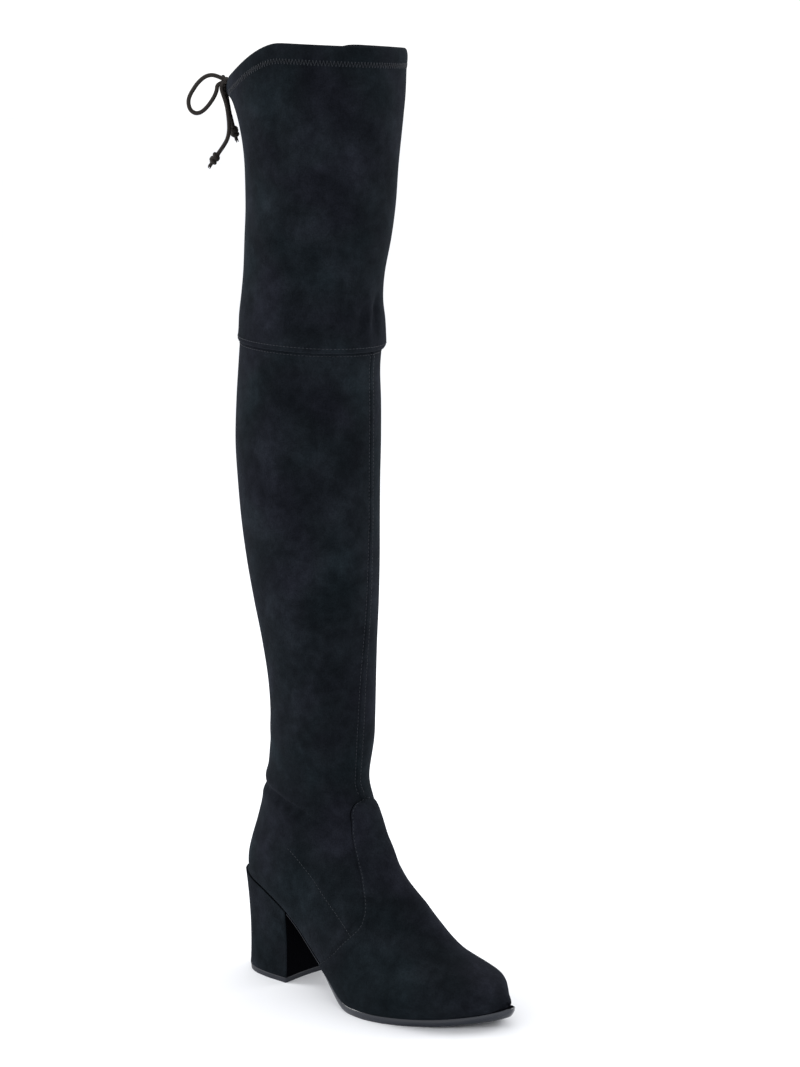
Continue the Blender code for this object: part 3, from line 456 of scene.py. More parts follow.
def turned_sides(sides, twist, steps):
    """The same ring, with its front line moved round to the bearing of the twist."""
    outer, inner = sides
    loop = np.concatenate([inner, outer[::-1][1:]])
    total = lengths_along(loop)[-1]
    middle = (loop.max(axis=0) + loop.min(axis=0)) / 2
    side, way = (inner, 1) if twist > 0 else (outer, -1)
    bearing = np.arctan2(way * (side[:, 0] - middle[0]), side[:, 1] - middle[1])
    start = way * float(np.interp(abs(twist), bearing - bearing[0], lengths_along(side)))
    back = lengths_along(inner)[-1]
    turned = []
    for end in (back - total, back):
        turned.append(spread(loop, (start + np.linspace(0, end, 2 * steps)) % total))
    return turned


def lengths_along(line):
    return np.concatenate([[0], np.cumsum(np.linalg.norm(np.diff(line, axis=0), axis=1))])


def spread(line, at):
    """Points at the given lengths along a line."""
    along = lengths_along(line)
    return np.stack([np.interp(at, along, column) for column in line.T], axis=1)


def section_line(sides):
    """Points across a section from the outer side to the inner one, and their signed shares."""
    parts, shares = [], []
    for side in sides:
        length = lengths_along(side)[-1]
        fit = min(1.0, 0.3 * length / SEAM_COLUMNS[-1])
        first = np.array(SEAM_COLUMNS) * fit
        at = np.concatenate([first, np.linspace(first[-1], length, SIDE_COLUMNS + 1)[1:]])
        parts.append(spread(side, at))
        shares.append(at / length)
    line = np.concatenate([parts[0][::-1], parts[1][1:]])
    share = np.concatenate([-shares[0][::-1], shares[1][1:]])
    return line * FACING, share


def level_ring(loop, height):
    """A plan outline of x and ahead, set at a height or at one height for each point."""
    return np.stack([loop[:, 0], -loop[:, 1], np.broadcast_to(height, len(loop))], axis=1)


def unit(vectors):
    return vectors / np.maximum(np.linalg.norm(vectors, axis=-1, keepdims=True), 1e-12)


def close_rows(grid, closed):
    """Lets the closed rows of a grid end where they start."""
    for i in np.flatnonzero(closed):
        grid[i, 0] = grid[i, -1] = (grid[i, 0] + grid[i, -1]) / 2


class Sheet:
    """A grid of points over a surface, with normals and each point's share round the boot."""

    def __init__(self, grid, shares, closed):
        self.grid, self.shares, self.closed = grid, shares, closed
        close_rows(grid, closed)
        self.measure()

    def measure(self):
        grid = self.grid
        down = np.gradient(grid, axis=0)
        across = np.gradient(grid, axis=1)
        turn = grid[:, 1] - grid[:, -2]
        across[self.closed, 0] = turn[self.closed]
        across[self.closed, -1] = turn[self.closed]
        self.normals = unit(np.cross(down, across))

    def at(self, around, height):
        """The point at a share round the boot and a height."""
        line = np.array([[np.interp(around, share, row[:, k]) for k in range(3)]
                         for share, row in zip(self.shares, self.grid)])
        order = np.argsort(line[:, 2])
        return np.array([np.interp(height, line[order, 2], line[order, k]) for k in range(3)])

    def push(self, amounts):
        """Moves every point along its normal."""
        self.grid = self.grid + self.normals * amounts[:, :, None]
        self.measure()

    def inner_face(self):
        """The inner face of a wall whose outer face this is."""
        inner = self.grid - self.normals * UPPER_WALL
        close_rows(inner, self.closed)
        return inner


def smooth_line(points, count):
    """Even points along a smooth curve through the given points."""
    rows = np.array(points, float)
    fine = np.array([between(rows, at) for at in np.linspace(0, len(rows) - 1, 20 * len(rows))])
    return spread(fine, np.linspace(0, lengths_along(fine)[-1], count))


def crease(sheet, creases):
    """Presses soft troughs and raises swells along the listed lines."""
    amounts = np.zeros(sheet.grid.shape[:2])
    for width, depth, line in creases:
        points = np.array([sheet.at(*p) for p in smooth_line(line, 24)])
        fade = np.sin(np.linspace(0, math.pi, len(points))) ** 0.6
        near = np.zeros_like(amounts)
        for point, strength in zip(points, fade):
            away = np.linalg.norm(sheet.grid - point, axis=2)
            near = np.maximum(near, strength * np.exp(-(away / width) ** 2))
        amounts -= depth * near
    sheet.push(amounts)


def fold_tip(grid):
    """Makes the two halves of the toe tip's row the same line."""
    grid[-1] = (grid[-1] + grid[-1, ::-1]) / 2


def upper_sheet():
    ats = []
    for first, last, steps in ((0, len(LEG), LEG_STEPS), (len(LEG), HEEL_ROW, ANKLE_STEPS),
                               (HEEL_ROW, TIP_ROW, FOOT_STEPS)):
        ats += list(np.linspace(first, last, (last - first) * steps + 1)[:-1])
    ats.append(TIP_ROW)
    lines = [section_line(section_sides(upper_values(at))) for at in ats]
    grid = np.array([line for line, _ in lines])
    fold_tip(grid)
    closed = np.array([at <= HEEL_ROW for at in ats])
    return Sheet(grid, [share for _, share in lines], closed)


def tuck(sheet):
    """Draws the upper in over the sole, most at the toe, so that the sole's ledge shows."""
    ahead = -sheet.grid[:, :, 1]
    up = sheet.grid[:, :, 2] - sole_top(ahead)
    toe = np.clip((ahead - TUCK_FROM) / TUCK_LENGTH, 0, 1)
    amounts = TUCK_AT_TOE * toe * np.exp(-(up / TUCK_HEIGHT) ** 2)
    amounts += TUCK_ALL_ROUND * np.clip(1 - up / TUCK_RISE, 0, 1) ** 2
    amounts[sheet.closed] = 0
    middle = np.stack([np.full_like(ahead, TUCK_MIDDLE), -np.minimum(ahead, TUCK_MIDDLE_AHEAD)],
                      axis=2)
    sheet.grid[:, :, :2] += unit(middle - sheet.grid[:, :, :2]) * amounts[:, :, None]
    sheet.measure()


def raise_front_seam(sheet):
    """The strip down the front of the leg, from the knee seam to the vamp."""
    slope, fade = 0.0006, 0.004
    across = np.linalg.norm(sheet.grid - sheet.grid[:, FRONT:FRONT + 1], axis=2)
    profile = np.clip((FRONT_SEAM_HALF + slope / 2 - across) / slope, 0, 1)
    low = VAMP_EDGE[0][1] * INSTEP_HEIGHT
    tall = np.clip((sheet.grid[:, FRONT, 2] - low + fade) / fade, 0, 1)
    sheet.push(profile * tall[:, None] * FRONT_SEAM_RISE)


# Meshes.

def new_mesh(name, points, faces, materials, slots=None):
    mesh = bpy.data.meshes.new(name)
    mesh.from_pydata([tuple(map(float, p)) for p in points], [], faces)
    mesh.update()
    mesh.polygons.foreach_set("use_smooth", [True] * len(faces))
    for item in materials:
        mesh.materials.append(item)
    if slots is not None:
        mesh.polygons.foreach_set("material_index", slots)
    made = bpy.data.objects.new(name, mesh)
    bpy.context.scene.collection.objects.link(made)
    return made


def grid_faces(rows, columns, start=0, flip=False):
    faces = []
    for i in range(rows - 1):
        for j in range(columns - 1):
            a = start + i * columns + j
            face = (a, a + columns, a + columns + 1, a + 1)
            faces.append(face[::-1] if flip else face)
    return faces


def wall(name, outer, inner, closed, materials):
    """A wall of two faces with rims; the closed rows join up behind."""
    rows, columns = outer.shape[:2]
    points = np.concatenate([outer.reshape(-1, 3), inner.reshape(-1, 3)])
    inside = rows * columns
    faces = grid_faces(rows, columns)
    slots = [0] * len(faces)
    back = grid_faces(rows, columns, inside, flip=True)
    faces += back
    slots += [1] * len(back)
    rims = []
    for j in range(columns - 1):
        rims.append((j, j + 1, inside + j + 1, inside + j))
        end = (rows - 1) * columns + j
        rims.append((end + 1, end, inside + end, inside + end + 1))
    for i in range(rows - 1):
        if not (closed[i] and closed[i + 1]):
            for j, step in ((0, 1), (columns - 1, -1)):
                a, b = i * columns + j, (i + 1) * columns + j
                face = (a, inside + a, inside + b, b)
                rims.append(face[::step])
    faces += rims
    slots += [0] * len(rims)
    made = new_mesh(name, points, faces, materials, slots)
    weld(made)
    return made


def weld(made, distance=1e-6):
    """Joins the doubled points where closed rows meet."""
    work = bmesh.new()
    work.from_mesh(made.data)
    bmesh.ops.remove_doubles(work, verts=work.verts, dist=distance)
    bmesh.ops.dissolve_degenerate(work, edges=work.edges, dist=distance)
    work.to_mesh(made.data)
    work.free()


def gathered(pieces):
    """The points and the faces of several meshes."""
    points, faces = [], []
    for made in pieces:
        first = len(points)
        points += [v.co.copy() for v in made.data.vertices]
        faces += [tuple(first + i for i in p.vertices) for p in made.data.polygons]
    return points, faces


def join(name, pieces):
    """Several meshes as one object."""
    points, faces = gathered(pieces)
    materials = list(pieces[0].data.materials)
    for piece in pieces:
        bpy.data.objects.remove(piece, do_unlink=True)
    return new_mesh(name, points, faces, materials)


def tree_of(*pieces):
    return BVHTree.FromPolygons(*gathered(pieces))


def outermost(tree, point, reach=0.008):
    """The surface met from outside at a point, looking level towards the leg's middle."""
    way = Vector((point[0], point[1] + LEG_MIDDLE, 0)).normalized()
    start = Vector(point) + way * reach
    hit, normal, _, _ = tree.ray_cast(start, -way, 2 * reach)
    if hit is None:
        hit, normal, _, _ = tree.find_nearest(Vector(point))
    return hit, (normal if normal.dot(way) > 0 else -normal)


def dress(made, node):
    """The piece rides on the boot and stands for the CAD node, which is hidden."""
    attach(made, "root")
    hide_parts(node)


# Materials.

def shader_of(name):
    made = bpy.data.materials.new(name)
    made.use_nodes = True
    return made, made.node_tree, made.node_tree.nodes["Principled BSDF"]


def places(tree):
    return tree.nodes.new("ShaderNodeTexCoord").outputs["Object"]


def noise(tree, coordinates, scale, detail, roughness=0.5, distortion=0.0):
    made = tree.nodes.new("ShaderNodeTexNoise")
    for name, value in (("Scale", scale), ("Detail", detail), ("Roughness", roughness),
                        ("Distortion", distortion)):
        made.inputs[name].default_value = value
    tree.links.new(coordinates, made.inputs["Vector"])
    return made.outputs["Fac"]


def ramp(tree, value, stops):
    """Colours by value: rows of position and colour."""
    made = tree.nodes.new("ShaderNodeValToRGB")
    elements = made.color_ramp.elements
    while len(elements) < len(stops):
        elements.new(0.5)
    for element, (position, color) in zip(elements, stops):
        element.position = position
        element.color = (*color, 1)
    tree.links.new(value, made.inputs["Fac"])
    return made.outputs["Color"]


def times(tree, first, second):
    """Two colours multiplied."""
    made = tree.nodes.new("ShaderNodeMixRGB")
    made.blend_type = "MULTIPLY"
    made.inputs["Fac"].default_value = 1.0
    tree.links.new(first, made.inputs["Color1"])
    tree.links.new(second, made.inputs["Color2"])
    return made.outputs["Color"]


def bump(tree, shader, layers):
    """Stacks fine relief: rows of height output, strength and distance in metres."""
    before = None
    for height, strength, distance in layers:
        made = tree.nodes.new("ShaderNodeBump")
        made.inputs["Strength"].default_value = strength
        made.inputs["Distance"].default_value = distance
        tree.links.new(height, made.inputs["Height"])
        if before is not None:
            tree.links.new(before, made.inputs["Normal"])
        before = made.outputs["Normal"]
    tree.links.new(before, shader.inputs["Normal"])


def suede():
    """Near-black suede: cloudy colour, fine nap and a pale sheen at grazing angles."""
    made, tree, shader = shader_of("suede_nap")
    where = places(tree)
    clouds = noise(tree, where, 34, 4, 0.55, 0.25)
    color = ramp(tree, clouds, [(0.30, (0.0043, 0.0056, 0.0070)), (0.50, (0.0064, 0.0081, 0.0101)),
                                (0.70, (0.0102, 0.0128, 0.0160))])
    hue = noise(tree, where, 16, 2, 0.5, 0.3)
    tint = ramp(tree, hue, [(0.36, (0.89, 1.02, 1.00)), (0.50, (1.0, 1.0, 1.0)),
                            (0.64, (1.08, 0.96, 1.06))])
    patches = noise(tree, where, 130, 3, 0.55, 0.3)
    rubbed = ramp(tree, patches, [(0.35, (0.84, 0.84, 0.86)), (0.65, (1.20, 1.20, 1.22))])
    nap = noise(tree, where, 900, 3, 0.6)
    grain = ramp(tree, nap, [(0.30, (0.78, 0.78, 0.78)), (0.70, (1.25, 1.25, 1.25))])
    for layer in (tint, rubbed, grain):
        color = times(tree, color, layer)
    tree.links.new(color, shader.inputs["Base Color"])
    shader.inputs["Roughness"].default_value = 0.95
    shader.inputs["Specular IOR Level"].default_value = 0.02
    shader.inputs["Sheen Weight"].default_value = 0.022
    shader.inputs["Sheen Roughness"].default_value = 0.45
    shader.inputs["Sheen Tint"].default_value = (0.70, 0.80, 1.0, 1)
    bump(tree, shader, [(clouds, 0.35, 0.0030), (patches, 0.30, 0.0008), (nap, 0.40, 0.0003)])
    return made


def plain(name, color, roughness, specular=0.5, nap_scale=None, coat=0.0):
    """One colour, with a fine nap where its scale is given."""
    made, tree, shader = shader_of(name)
    shader.inputs["Base Color"].default_value = (*color, 1)
    shader.inputs["Roughness"].default_value = roughness
    shader.inputs["Specular IOR Level"].default_value = specular
    shader.inputs["Coat Weight"].default_value = coat
    shader.inputs["Coat Roughness"].default_value = 0.15
    if nap_scale:
        bump(tree, shader, [(noise(tree, places(tree), nap_scale, 2), 0.4, 0.0002)])
    return made


# Pieces.

def build_upper(materials):
    sheet = upper_sheet()
    raise_front_seam(sheet)
    crease(sheet, LEG_CREASES + FOOT_CREASES)
    tuck(sheet)
    fold_tip(sheet.grid)
    inner = sheet.inner_face()
    foot = ~sheet.closed
    inner[foot, :, 2] = np.maximum(inner[foot, :, 2], sole_top(-sheet.grid[foot, :, 1]) + 0.0001)
    fold_tip(inner)
    made = wall("upper_suede", sheet.grid, inner, sheet.closed, materials)
    dress(made, "upper")
    return sheet, made


def vamp_limits(line):
    """How far from the front the vamp's edge crosses a section's side, and the side's length."""
    point = np.stack([-line[:, 1], line[:, 2]], axis=1)
    start = VAMP_LINE[:-1]
    way = VAMP_LINE[1:] - start
    t = np.clip(((point[:, None] - start) * way).sum(axis=2) / (way ** 2).sum(axis=1), 0, 1)
    near = start + way * t[:, :, None]
    gap = np.linalg.norm(point[:, None] - near, axis=2)
    k = gap.argmin(axis=1)
    rows = np.arange(len(point))
    off = point - near[rows, k]
    side = np.sign(way[k, 0] * off[:, 1] - way[k, 1] * off[:, 0])
    inside = side * gap[rows, k]
    along = lengths_along(line)
    outside = np.flatnonzero(inside < 0)
    if len(outside) == 0:
        return along[-1], along[-1]
    i = outside[0]
    if i == 0:
        return 0.0, along[-1]
    share = inside[i - 1] / (inside[i - 1] - inside[i])
    return along[i - 1] + share * (along[i] - along[i - 1]), along[-1]


def vamp_line():
    points = [(ahead_of(ahead), up * INSTEP_HEIGHT) for ahead, up in VAMP_EDGE]
    line = smooth_line(points, 160)
    return np.concatenate([line, [[line[-1][0], -HEEL_HEIGHT]]])


VAMP_LINE = vamp_line()


def vamp_rows():
    """Fractional rows of the vamp from its peak to the toe, close together where it curls."""
    peak = len(LEG) + 1.0
    while vamp_limits(front_first(peak)[0])[0] <= 0.0001:
        peak += 0.002
    return np.concatenate([
        peak + np.array(PEAK_STEPS),
        np.arange(peak + 0.1, HEEL_ROW + CURL_START - 0.05, 0.0625),
        np.arange(HEEL_ROW + CURL_START, HEEL_ROW + CURL_END, 0.012),
        np.linspace(HEEL_ROW + CURL_END + 0.05, TIP_ROW, 96)])


def vamp_side(side):
    """Points of one side of a section from the vamp's edge to the front, and their heights."""
    limit, length = vamp_limits(side)
    first, heights = np.array(EDGE_PROFILE).T
    fit = min(1.0, 0.5 * limit / first[-1]) if limit > 0 else 0.0
    flat = np.linspace(first[-1] * fit, limit, VAMP_COLUMNS + 1)[1:]
    heights = np.concatenate([heights, np.ones(VAMP_COLUMNS)])
    open_edge = np.clip((length - limit) / 0.004, 0, 1)
    return (spread(side, limit - np.concatenate([first * fit, flat])),
            1 + (heights - 1) * open_edge)


def build_vamp(materials, leather):
    """The second layer over the forefoot, with a rounded edge that dives into the upper."""
    lines, heights = [], []
    for at in vamp_rows():
        (outer, outer_heights), (inner, inner_heights) = map(vamp_side, front_first(at))
        lines.append(np.concatenate([outer, inner[::-1][1:]]))
        heights.append(np.concatenate([outer_heights, inner_heights[::-1][1:]]))
    grid, steps = np.array(lines), np.array(heights)
    fold_tip(grid)
    tree = tree_of(leather)
    rows, columns = grid.shape[:2]
    normals = Sheet(grid, None, np.zeros(rows, bool)).normals
    base = np.empty_like(grid)
    for i in range(rows):
        for j in range(columns):
            p, n = Vector(grid[i, j]), Vector(normals[i, j])
            hit, _, _, _ = tree.ray_cast(p + n * 0.006, -n, 0.012)
            base[i, j] = hit if hit is not None else tree.find_nearest(p)[0]
    base[0] = base[0].mean(axis=0)
    grid = base + normals * (steps * VAMP_STEP)[:, :, None]
    fold_tip(grid)
    # The vamp edge's wall faces are dark: painted shade for the gap's shadow beside the upper.
    shaded_cut = np.zeros((rows - 1, columns - 1), int)
    shaded_cut[:, :2] = shaded_cut[:, -2:] = (steps[:-1, :1] < 0.5)
    made = new_mesh("vamp_suede", grid.reshape(-1, 3), grid_faces(rows, columns), materials,
                    shaded_cut.ravel())
    weld(made)
    dress(made, "vamp")
    stitched = len(EDGE_PROFILE) - 3
    keep = steps[:, 0] < 0.5
    return made, [grid[keep, stitched], grid[keep, -1 - stitched]]


def front_first(at):
    """Both sides of the upper's section, from the front line on."""
    return [side * FACING for side in section_sides(upper_values(at))]


def collar_pull(points, middle, pull):
    """Dips and draws out the ring behind, where the drawstring gathers it, and dips the front."""
    moved = points.copy()
    back = np.array([-math.sin(COLLAR_TURN), math.cos(COLLAR_TURN)])
    way = unit(points[:, :2] - middle)
    off = np.arccos(np.clip(way @ back, -1, 1))
    dip = np.maximum(0.0, np.cos(off / DIP_SPREAD)) ** 1.5
    pinch = np.exp(-((off / PINCH_SPREAD) ** 2))
    front = np.maximum(0.0, -np.cos(off))
    moved[:, 2] -= pull * (COLLAR_DIP * dip + COLLAR_FRONT_DIP * front)
    moved[:, :2] += way * (pull * COLLAR_PINCH * pinch)[:, None]
    return moved


def thigh_values(up, middle, grow, slump, tilt):
    depth = KNEE_DEPTH + grow * (THIGH_DEPTH - KNEE_DEPTH)
    width = KNEE_WIDTH + grow * (THIGH_WIDTH - KNEE_WIDTH)
    height = HEEL_HEIGHT + SEAT_TO_KNEE + up * KNEE_TO_CASING
    centre = ahead_of(middle)
    lift = tilt * SEAM_TILT / 2
    return oval_values(centre - depth / 2, height + lift,
                       centre + depth / 2 + slump * KNEE_SLUMP, height - lift, width, COLLAR_TURN)


def thigh_line(up, middle, grow, slump, tilt, pull):
    line, share = section_line(section_sides(thigh_values(up, middle, grow, slump, tilt)))
    centre = ahead_of(middle)
    return collar_pull(line, np.array([0.0, -centre]), pull), share


def thigh_sheet():
    rows = np.array(THIGH)
    ats = np.linspace(len(rows) - 1, 0, (len(rows) - 1) * THIGH_STEPS + 1)
    lines = [thigh_line(*between(rows, at)) for at in ats]
    grid = np.array([line for line, _ in lines])
    return Sheet(grid, [share for _, share in lines], np.ones(len(grid), bool))


def turn_under(sheet, proud=0.0008, height=0.0050, lap=0.0008):
    """Folds the thigh's lower edge under; it stands a little proud at the knee seam."""
    up = sheet.grid[:, :, 2] - sheet.grid[-1:, :, 2]
    lift = np.exp(-(up / height) ** 2) - 1.1 * np.clip(1 - up / 0.0012, 0, 1) ** 2
    sheet.push(lift * proud)
    sheet.grid[-1, :, 2] -= lap


def build_thigh(materials):
    sheet = thigh_sheet()
    crease(sheet, THIGH_CREASES)
    turn_under(sheet)
    made = wall("thigh_suede", sheet.grid, sheet.inner_face(), sheet.closed, materials)
    dress(made, "thigh_shaft")
    return sheet, made


def build_hem(material):
    """The folded hem over the drawstring, gathered where the bow leaves it."""
    base, _ = thigh_line(*THIGH[-1])
    centre = np.array([0.0, -ahead_of(THIGH[-1][1])])
    way = unit(base[:, :2] - centre)
    exit_way = bow_frame()[0][:2] - centre
    turn = np.arctan2(way[:, 0], way[:, 1]) - math.atan2(exit_way[0], exit_way[1])
    off = (turn + math.pi) % (2 * math.pi) - math.pi
    ripple = np.exp(-(off / GATHER_SPREAD) ** 2) * np.cos(off * RIPPLE_COUNT) * RIPPLE_DEPTH
    proud, thick = CASING_PROUD - HEM_ALLOWANCE, CASING_THICKNESS - HEM_ALLOWANCE
    rings = []
    for up, inward in smooth_line(HEM_PROFILE, 34):
        ring = base.copy()
        bulge = ripple * math.sin(math.pi * min(max(up, 0), 1))
        ring[:, :2] += way * (proud - inward * thick + bulge)[:, None]
        ring[:, 2] += up * CASING_HEIGHT
        ring[0] = ring[-1] = (ring[0] + ring[-1]) / 2
        rings.append(ring)
    rings.append(rings[0])
    grid = np.array(rings)[::-1]
    made = new_mesh("hem_suede", grid.reshape(-1, 3), grid_faces(*grid.shape[:2]), [material])
    weld(made)
    dress(made, "drawstring_casing")
    return made


def plan_sides(amount):
    """The feather line in plan, moved outwards by an amount for each of its points."""
    outer = np.stack([-PLAN[:, 1] * BALL_WIDTH, PLAN_AHEAD], axis=1)
    inner = np.stack([PLAN[:, 2] * BALL_WIDTH, PLAN_AHEAD], axis=1)
    loop = np.concatenate([outer, inner[-2:0:-1]])
    way = np.roll(loop, -1, axis=0) - np.roll(loop, 1, axis=0)
    out = unit(np.stack([-way[:, 1], way[:, 0]], axis=1))
    amounts = np.broadcast_to(amount, (len(PLAN),))
    amounts = np.concatenate([amounts, amounts[-2:0:-1]])
    moved = loop + out * amounts[:, None]
    count = len(outer)
    return moved[:count], np.concatenate([[moved[0]], moved[count:][::-1], [moved[count - 1]]])


def ring_faces(rings, count, start=0):
    """Faces between one ring of points and the next."""
    faces = []
    for first in range(start, start + (rings - 1) * count, count):
        for j in range(count):
            a, b = first + j, first + (j + 1) % count
            faces.append((a, b, b + count, a + count))
    return faces


def solid_faces(rings, count, start=0):
    """The same with a cap at either end."""
    last = start + (rings - 1) * count
    return ring_faces(rings, count, start) + [tuple(range(start, start + count))[::-1],
                                              tuple(range(last, last + count))]


def loft(name, rings, materials):
    """A closed solid through rings of points, bottom to top."""
    faces = solid_faces(len(rings), len(rings[0]))
    made = new_mesh(name, np.concatenate(rings), faces, materials)
    fix_normals(made)
    return made


def sharpen(made, degrees):
    """Flat shading across edges sharper than the given angle."""
    made.data.set_sharp_from_angle(angle=math.radians(degrees))


def build_outsole(materials):
    """The sole from the heel's breast to the toe, with a rounded glossy edge."""
    first = BREAST_ROW * PLAN_STEPS
    amount = SOLE_EDGE * np.interp(PLAN[:, 0], [0.25, 0.45, 0.6], [0.2, 0.5, 1.0])
    waist = np.clip((0.46 - PLAN[:, 0]) / 0.10, 0, 1)
    tip = np.clip((PLAN_AHEAD - 0.180) / 0.020, 0, 1)
    rings = []
    for up, inset in SOLE_PROFILE:
        bevel = WAIST_BEVEL * waist * max(0, 0.84 - up) + TIP_BEVEL * tip * max(0, 0.60 - up)
        outer, inner = plan_sides(amount - inset - bevel)
        loop = np.concatenate([outer[first:], inner[first:-1][::-1]])
        top = sole_top(loop[:, 1])
        fat = np.interp(loop[:, 1], [0.060, 0.090, 0.175, 0.200], [0.45, 1.0, 1.0, 1.2])
        z = top - SOLE_THICKNESS * (1 - up) * (fat if up < 1 else 1)
        rings.append(level_ring(loop, z))
    made = strip_solid("sole_edge", rings, len(PLAN) - first, materials)
    dress(made, "outsole")


def strip_solid(name, rings, half, materials):
    """A loft whose caps are strips between its two sides; from the ledge on it is painted shade."""
    count = len(rings[0])
    faces = ring_faces(len(rings), count)
    # The rings from the ledge on, and the top cap, are painted shade for the crevice under the
    # upper.
    slots = [int(k // count >= SOLE_LEDGE) for k in range(len(faces))]
    top = (len(rings) - 1) * count
    for start, flip in ((0, 1), (top, -1)):
        for j in range(half - 1):
            a, b = start + j, start + j + 1
            c, d = start + (count - 1 - j), start + (count - 2 - j)
            face = (a, c, d, b) if d != b else (a, c, b)
            faces.append(face[::flip])
            slots.append(int(start == top))
    made = new_mesh(name, np.concatenate(rings), faces, materials, slots)
    fix_normals(made)
    sharpen(made, 40)
    return made


def fix_normals(made):
    """Joins doubled points and turns every face outwards."""
    work = bmesh.new()
    work.from_mesh(made.data)
    bmesh.ops.remove_doubles(work, verts=work.verts, dist=1e-6)
    bmesh.ops.recalc_face_normals(work, faces=work.faces)
    work.to_mesh(made.data)
    work.free()


def heel_ring(level):
    """Closed plan outline of the heel at a level from the ground (0) to the seat (1)."""
    outer, inner = plan_sides(HEEL_CUP_LIP)
    last = (BREAST_ROW - 1) * PLAN_STEPS
    back_top, breast = outer[0][1], BREAST_AHEAD
    back_low = BREAST_AHEAD - HEEL_LENGTH
    waist = HEEL_WAIST * level * (level - 1)
    sides = []
    for side, sign in ((outer, -1), (inner, 1)):
        points = [tuple(p) for p in side[:last + 1:3]]
        x_end = side[last][0]
        points += [(x_end, a) for a in np.linspace(side[last][1], breast, 5)[1:]]
        moved = []
        for x, ahead in points:
            t = (ahead - back_top) / (breast - back_top)
            low_ahead = back_low + t * HEEL_LENGTH
            full = abs(x) / abs(x_end)
            low_x = sign * full * HEEL_WIDTH / 2
            px = low_x + (x - low_x) * level
            pa = low_ahead + (ahead - low_ahead) * level ** 1.5
            moved.append((px + sign * full * waist, pa - waist * (1 - t)))
        sides.append(np.array(moved))
    outer, inner = sides
    across = np.linspace(0, 1, 9)[:, None]
    breast_line = outer[-1] + (inner[-1] - outer[-1]) * across
    breast_line[:, 1] -= BREAST_HOLLOW * np.sin(np.linspace(0, math.pi, 9))
    outer[-1][1] -= BREAST_CORNER
    inner[-1][1] -= BREAST_CORNER
    near = [side[-1] + (way * BREAST_CORNER * 0.35, BREAST_CORNER * 0.75)
            for side, way in ((outer, 1), (inner, -1))]
    return np.concatenate([outer, near[:1], breast_line[1:-1], near[1:], inner[::-1][:-1]])


def build_heel(materials, rubber):
    """The covered heel block and the top piece under it."""
    rings = []
    base = TOP_PIECE_THICKNESS
    for level in np.linspace(0, 1, 16):
        loop = heel_ring(level)
        seat = sole_top(loop[:, 1]) - 0.0001
        rings.append(level_ring(loop, base + level * (seat - base)))
    foot = rings[0].copy()
    centre = foot.mean(axis=0)[:2]
    foot[:, :2] += unit(centre - foot[:, :2]) * COVER_SHRINK
    rings[0][:, 2] += COVER_LIFT
    made = loft("heel_cover", [foot] + rings, materials)
    sharpen(made, 30)
    # The face over the breast takes the dark material: painted shade, as the breast lies in shadow.
    for face in made.data.polygons:
        face.material_index = int(face.normal.y < -0.8)
    dress(made, "heel_block")

    loop = heel_ring(0.0)
    flat = []
    for z, inset in TIP_PROFILE:
        ring = level_ring(loop, z)
        ring[:, :2] += unit(centre - ring[:, :2]) * inset
        flat.append(ring)
    tip = loft("heel_tip", flat, [rubber])
    sharpen(tip, 30)
    dress(tip, "heel_top_piece")


# The drawstring's bow.

def bow_frame():
    """The drawstring's exit and the ways out, up and deep, one cord diameter long each."""
    outer, _ = section_sides(thigh_values(*THIGH[-1][:-1]), 24)
    point = spread(outer, np.array([lengths_along(outer)[-1] * 14 / 15]))
    centre = np.array([0.0, -ahead_of(THIGH[-1][1])])
    start = collar_pull(point * FACING, centre, 1.0)[0]
    # The exit lies above the gaps at the knee seam and under the hem.
    start[2] += 2 * GAP + CASING_HEIGHT / 2
    c, s = math.cos(BOW_BEARING), math.sin(BOW_BEARING)
    ways = np.array([[-s, c, 0.0], [0.0, 0.0, 1.0], [c, s, 0.0]]) * CORD_DIAMETER
    return start, ways


def build_cord(name, node, route, material):
    start, ways = bow_frame()
    first, last = KNOT_ENDS[node]
    points = smooth_line(start + np.array(first + route + last) @ ways,
                         max(15, 2 * len(route)))
    curve = bpy.data.curves.new(name, "CURVE")
    curve.dimensions = "3D"
    curve.bevel_depth = CORD_DIAMETER / 2
    curve.bevel_resolution = 5
    curve.use_fill_caps = True
    spline = curve.splines.new("NURBS")
    spline.points.add(len(points) - 1)
    spline.order_u = 3
    spline.use_endpoint_u = True
    spline.resolution_u = 6
    for made, p in zip(spline.points, points):
        made.co = (*p, 1.0)
    curve.materials.append(material)
    cord = bpy.data.objects.new(name, curve)
    bpy.context.scene.collection.objects.link(cord)
    dress(cord, node)


def tube(name, path, radius, material, sides=14, taper=None):
    """A closed tube along a path of points, as a mesh."""
    path = np.asarray(path, float)
    way = unit(np.gradient(path, axis=0))
    side = unit(np.cross(way, (0.31, 0.17, 0.93)))
    other = np.cross(way, side)
    radii = np.full(len(path), radius) if taper is None else radius * np.asarray(taper)
    turn = np.linspace(0, 2 * math.pi, sides, endpoint=False)
    rings = [p + r * (np.cos(turn)[:, None] * a + np.sin(turn)[:, None] * b)
             for p, r, a, b in zip(path, radii, side, other)]
    return loft(name, rings, [material])


def build_bow_knot(material):
    """The bow's knot: two wraps of the cord round its crossing."""
    start, ways = bow_frame()
    middle = start + np.array(KNOT_MIDDLE) @ ways
    out, up, deep = ways
    pieces = []
    for lift, lean in ((0.30, 0.20), (-0.30, 0.10)):
        turn = np.linspace(0, 2 * math.pi, 29)
        path = [middle + up * (lift + lean * math.sin(a)) + out * 0.40 * math.cos(a)
                + deep * 0.45 * math.sin(a) for a in turn]
        pieces.append(tube("wrap", path, CORD_DIAMETER * 0.38, material))
    core = [middle + up * s for s in np.linspace(-0.75, 0.75, 7)]
    pieces.append(tube("core", core, CORD_DIAMETER * 0.45, material,
                       taper=[0.5, 0.9, 1, 1, 1, 0.9, 0.5]))
    made = join("bow_knot_cord", pieces)
    dress(made, "bow_knot")
    return made


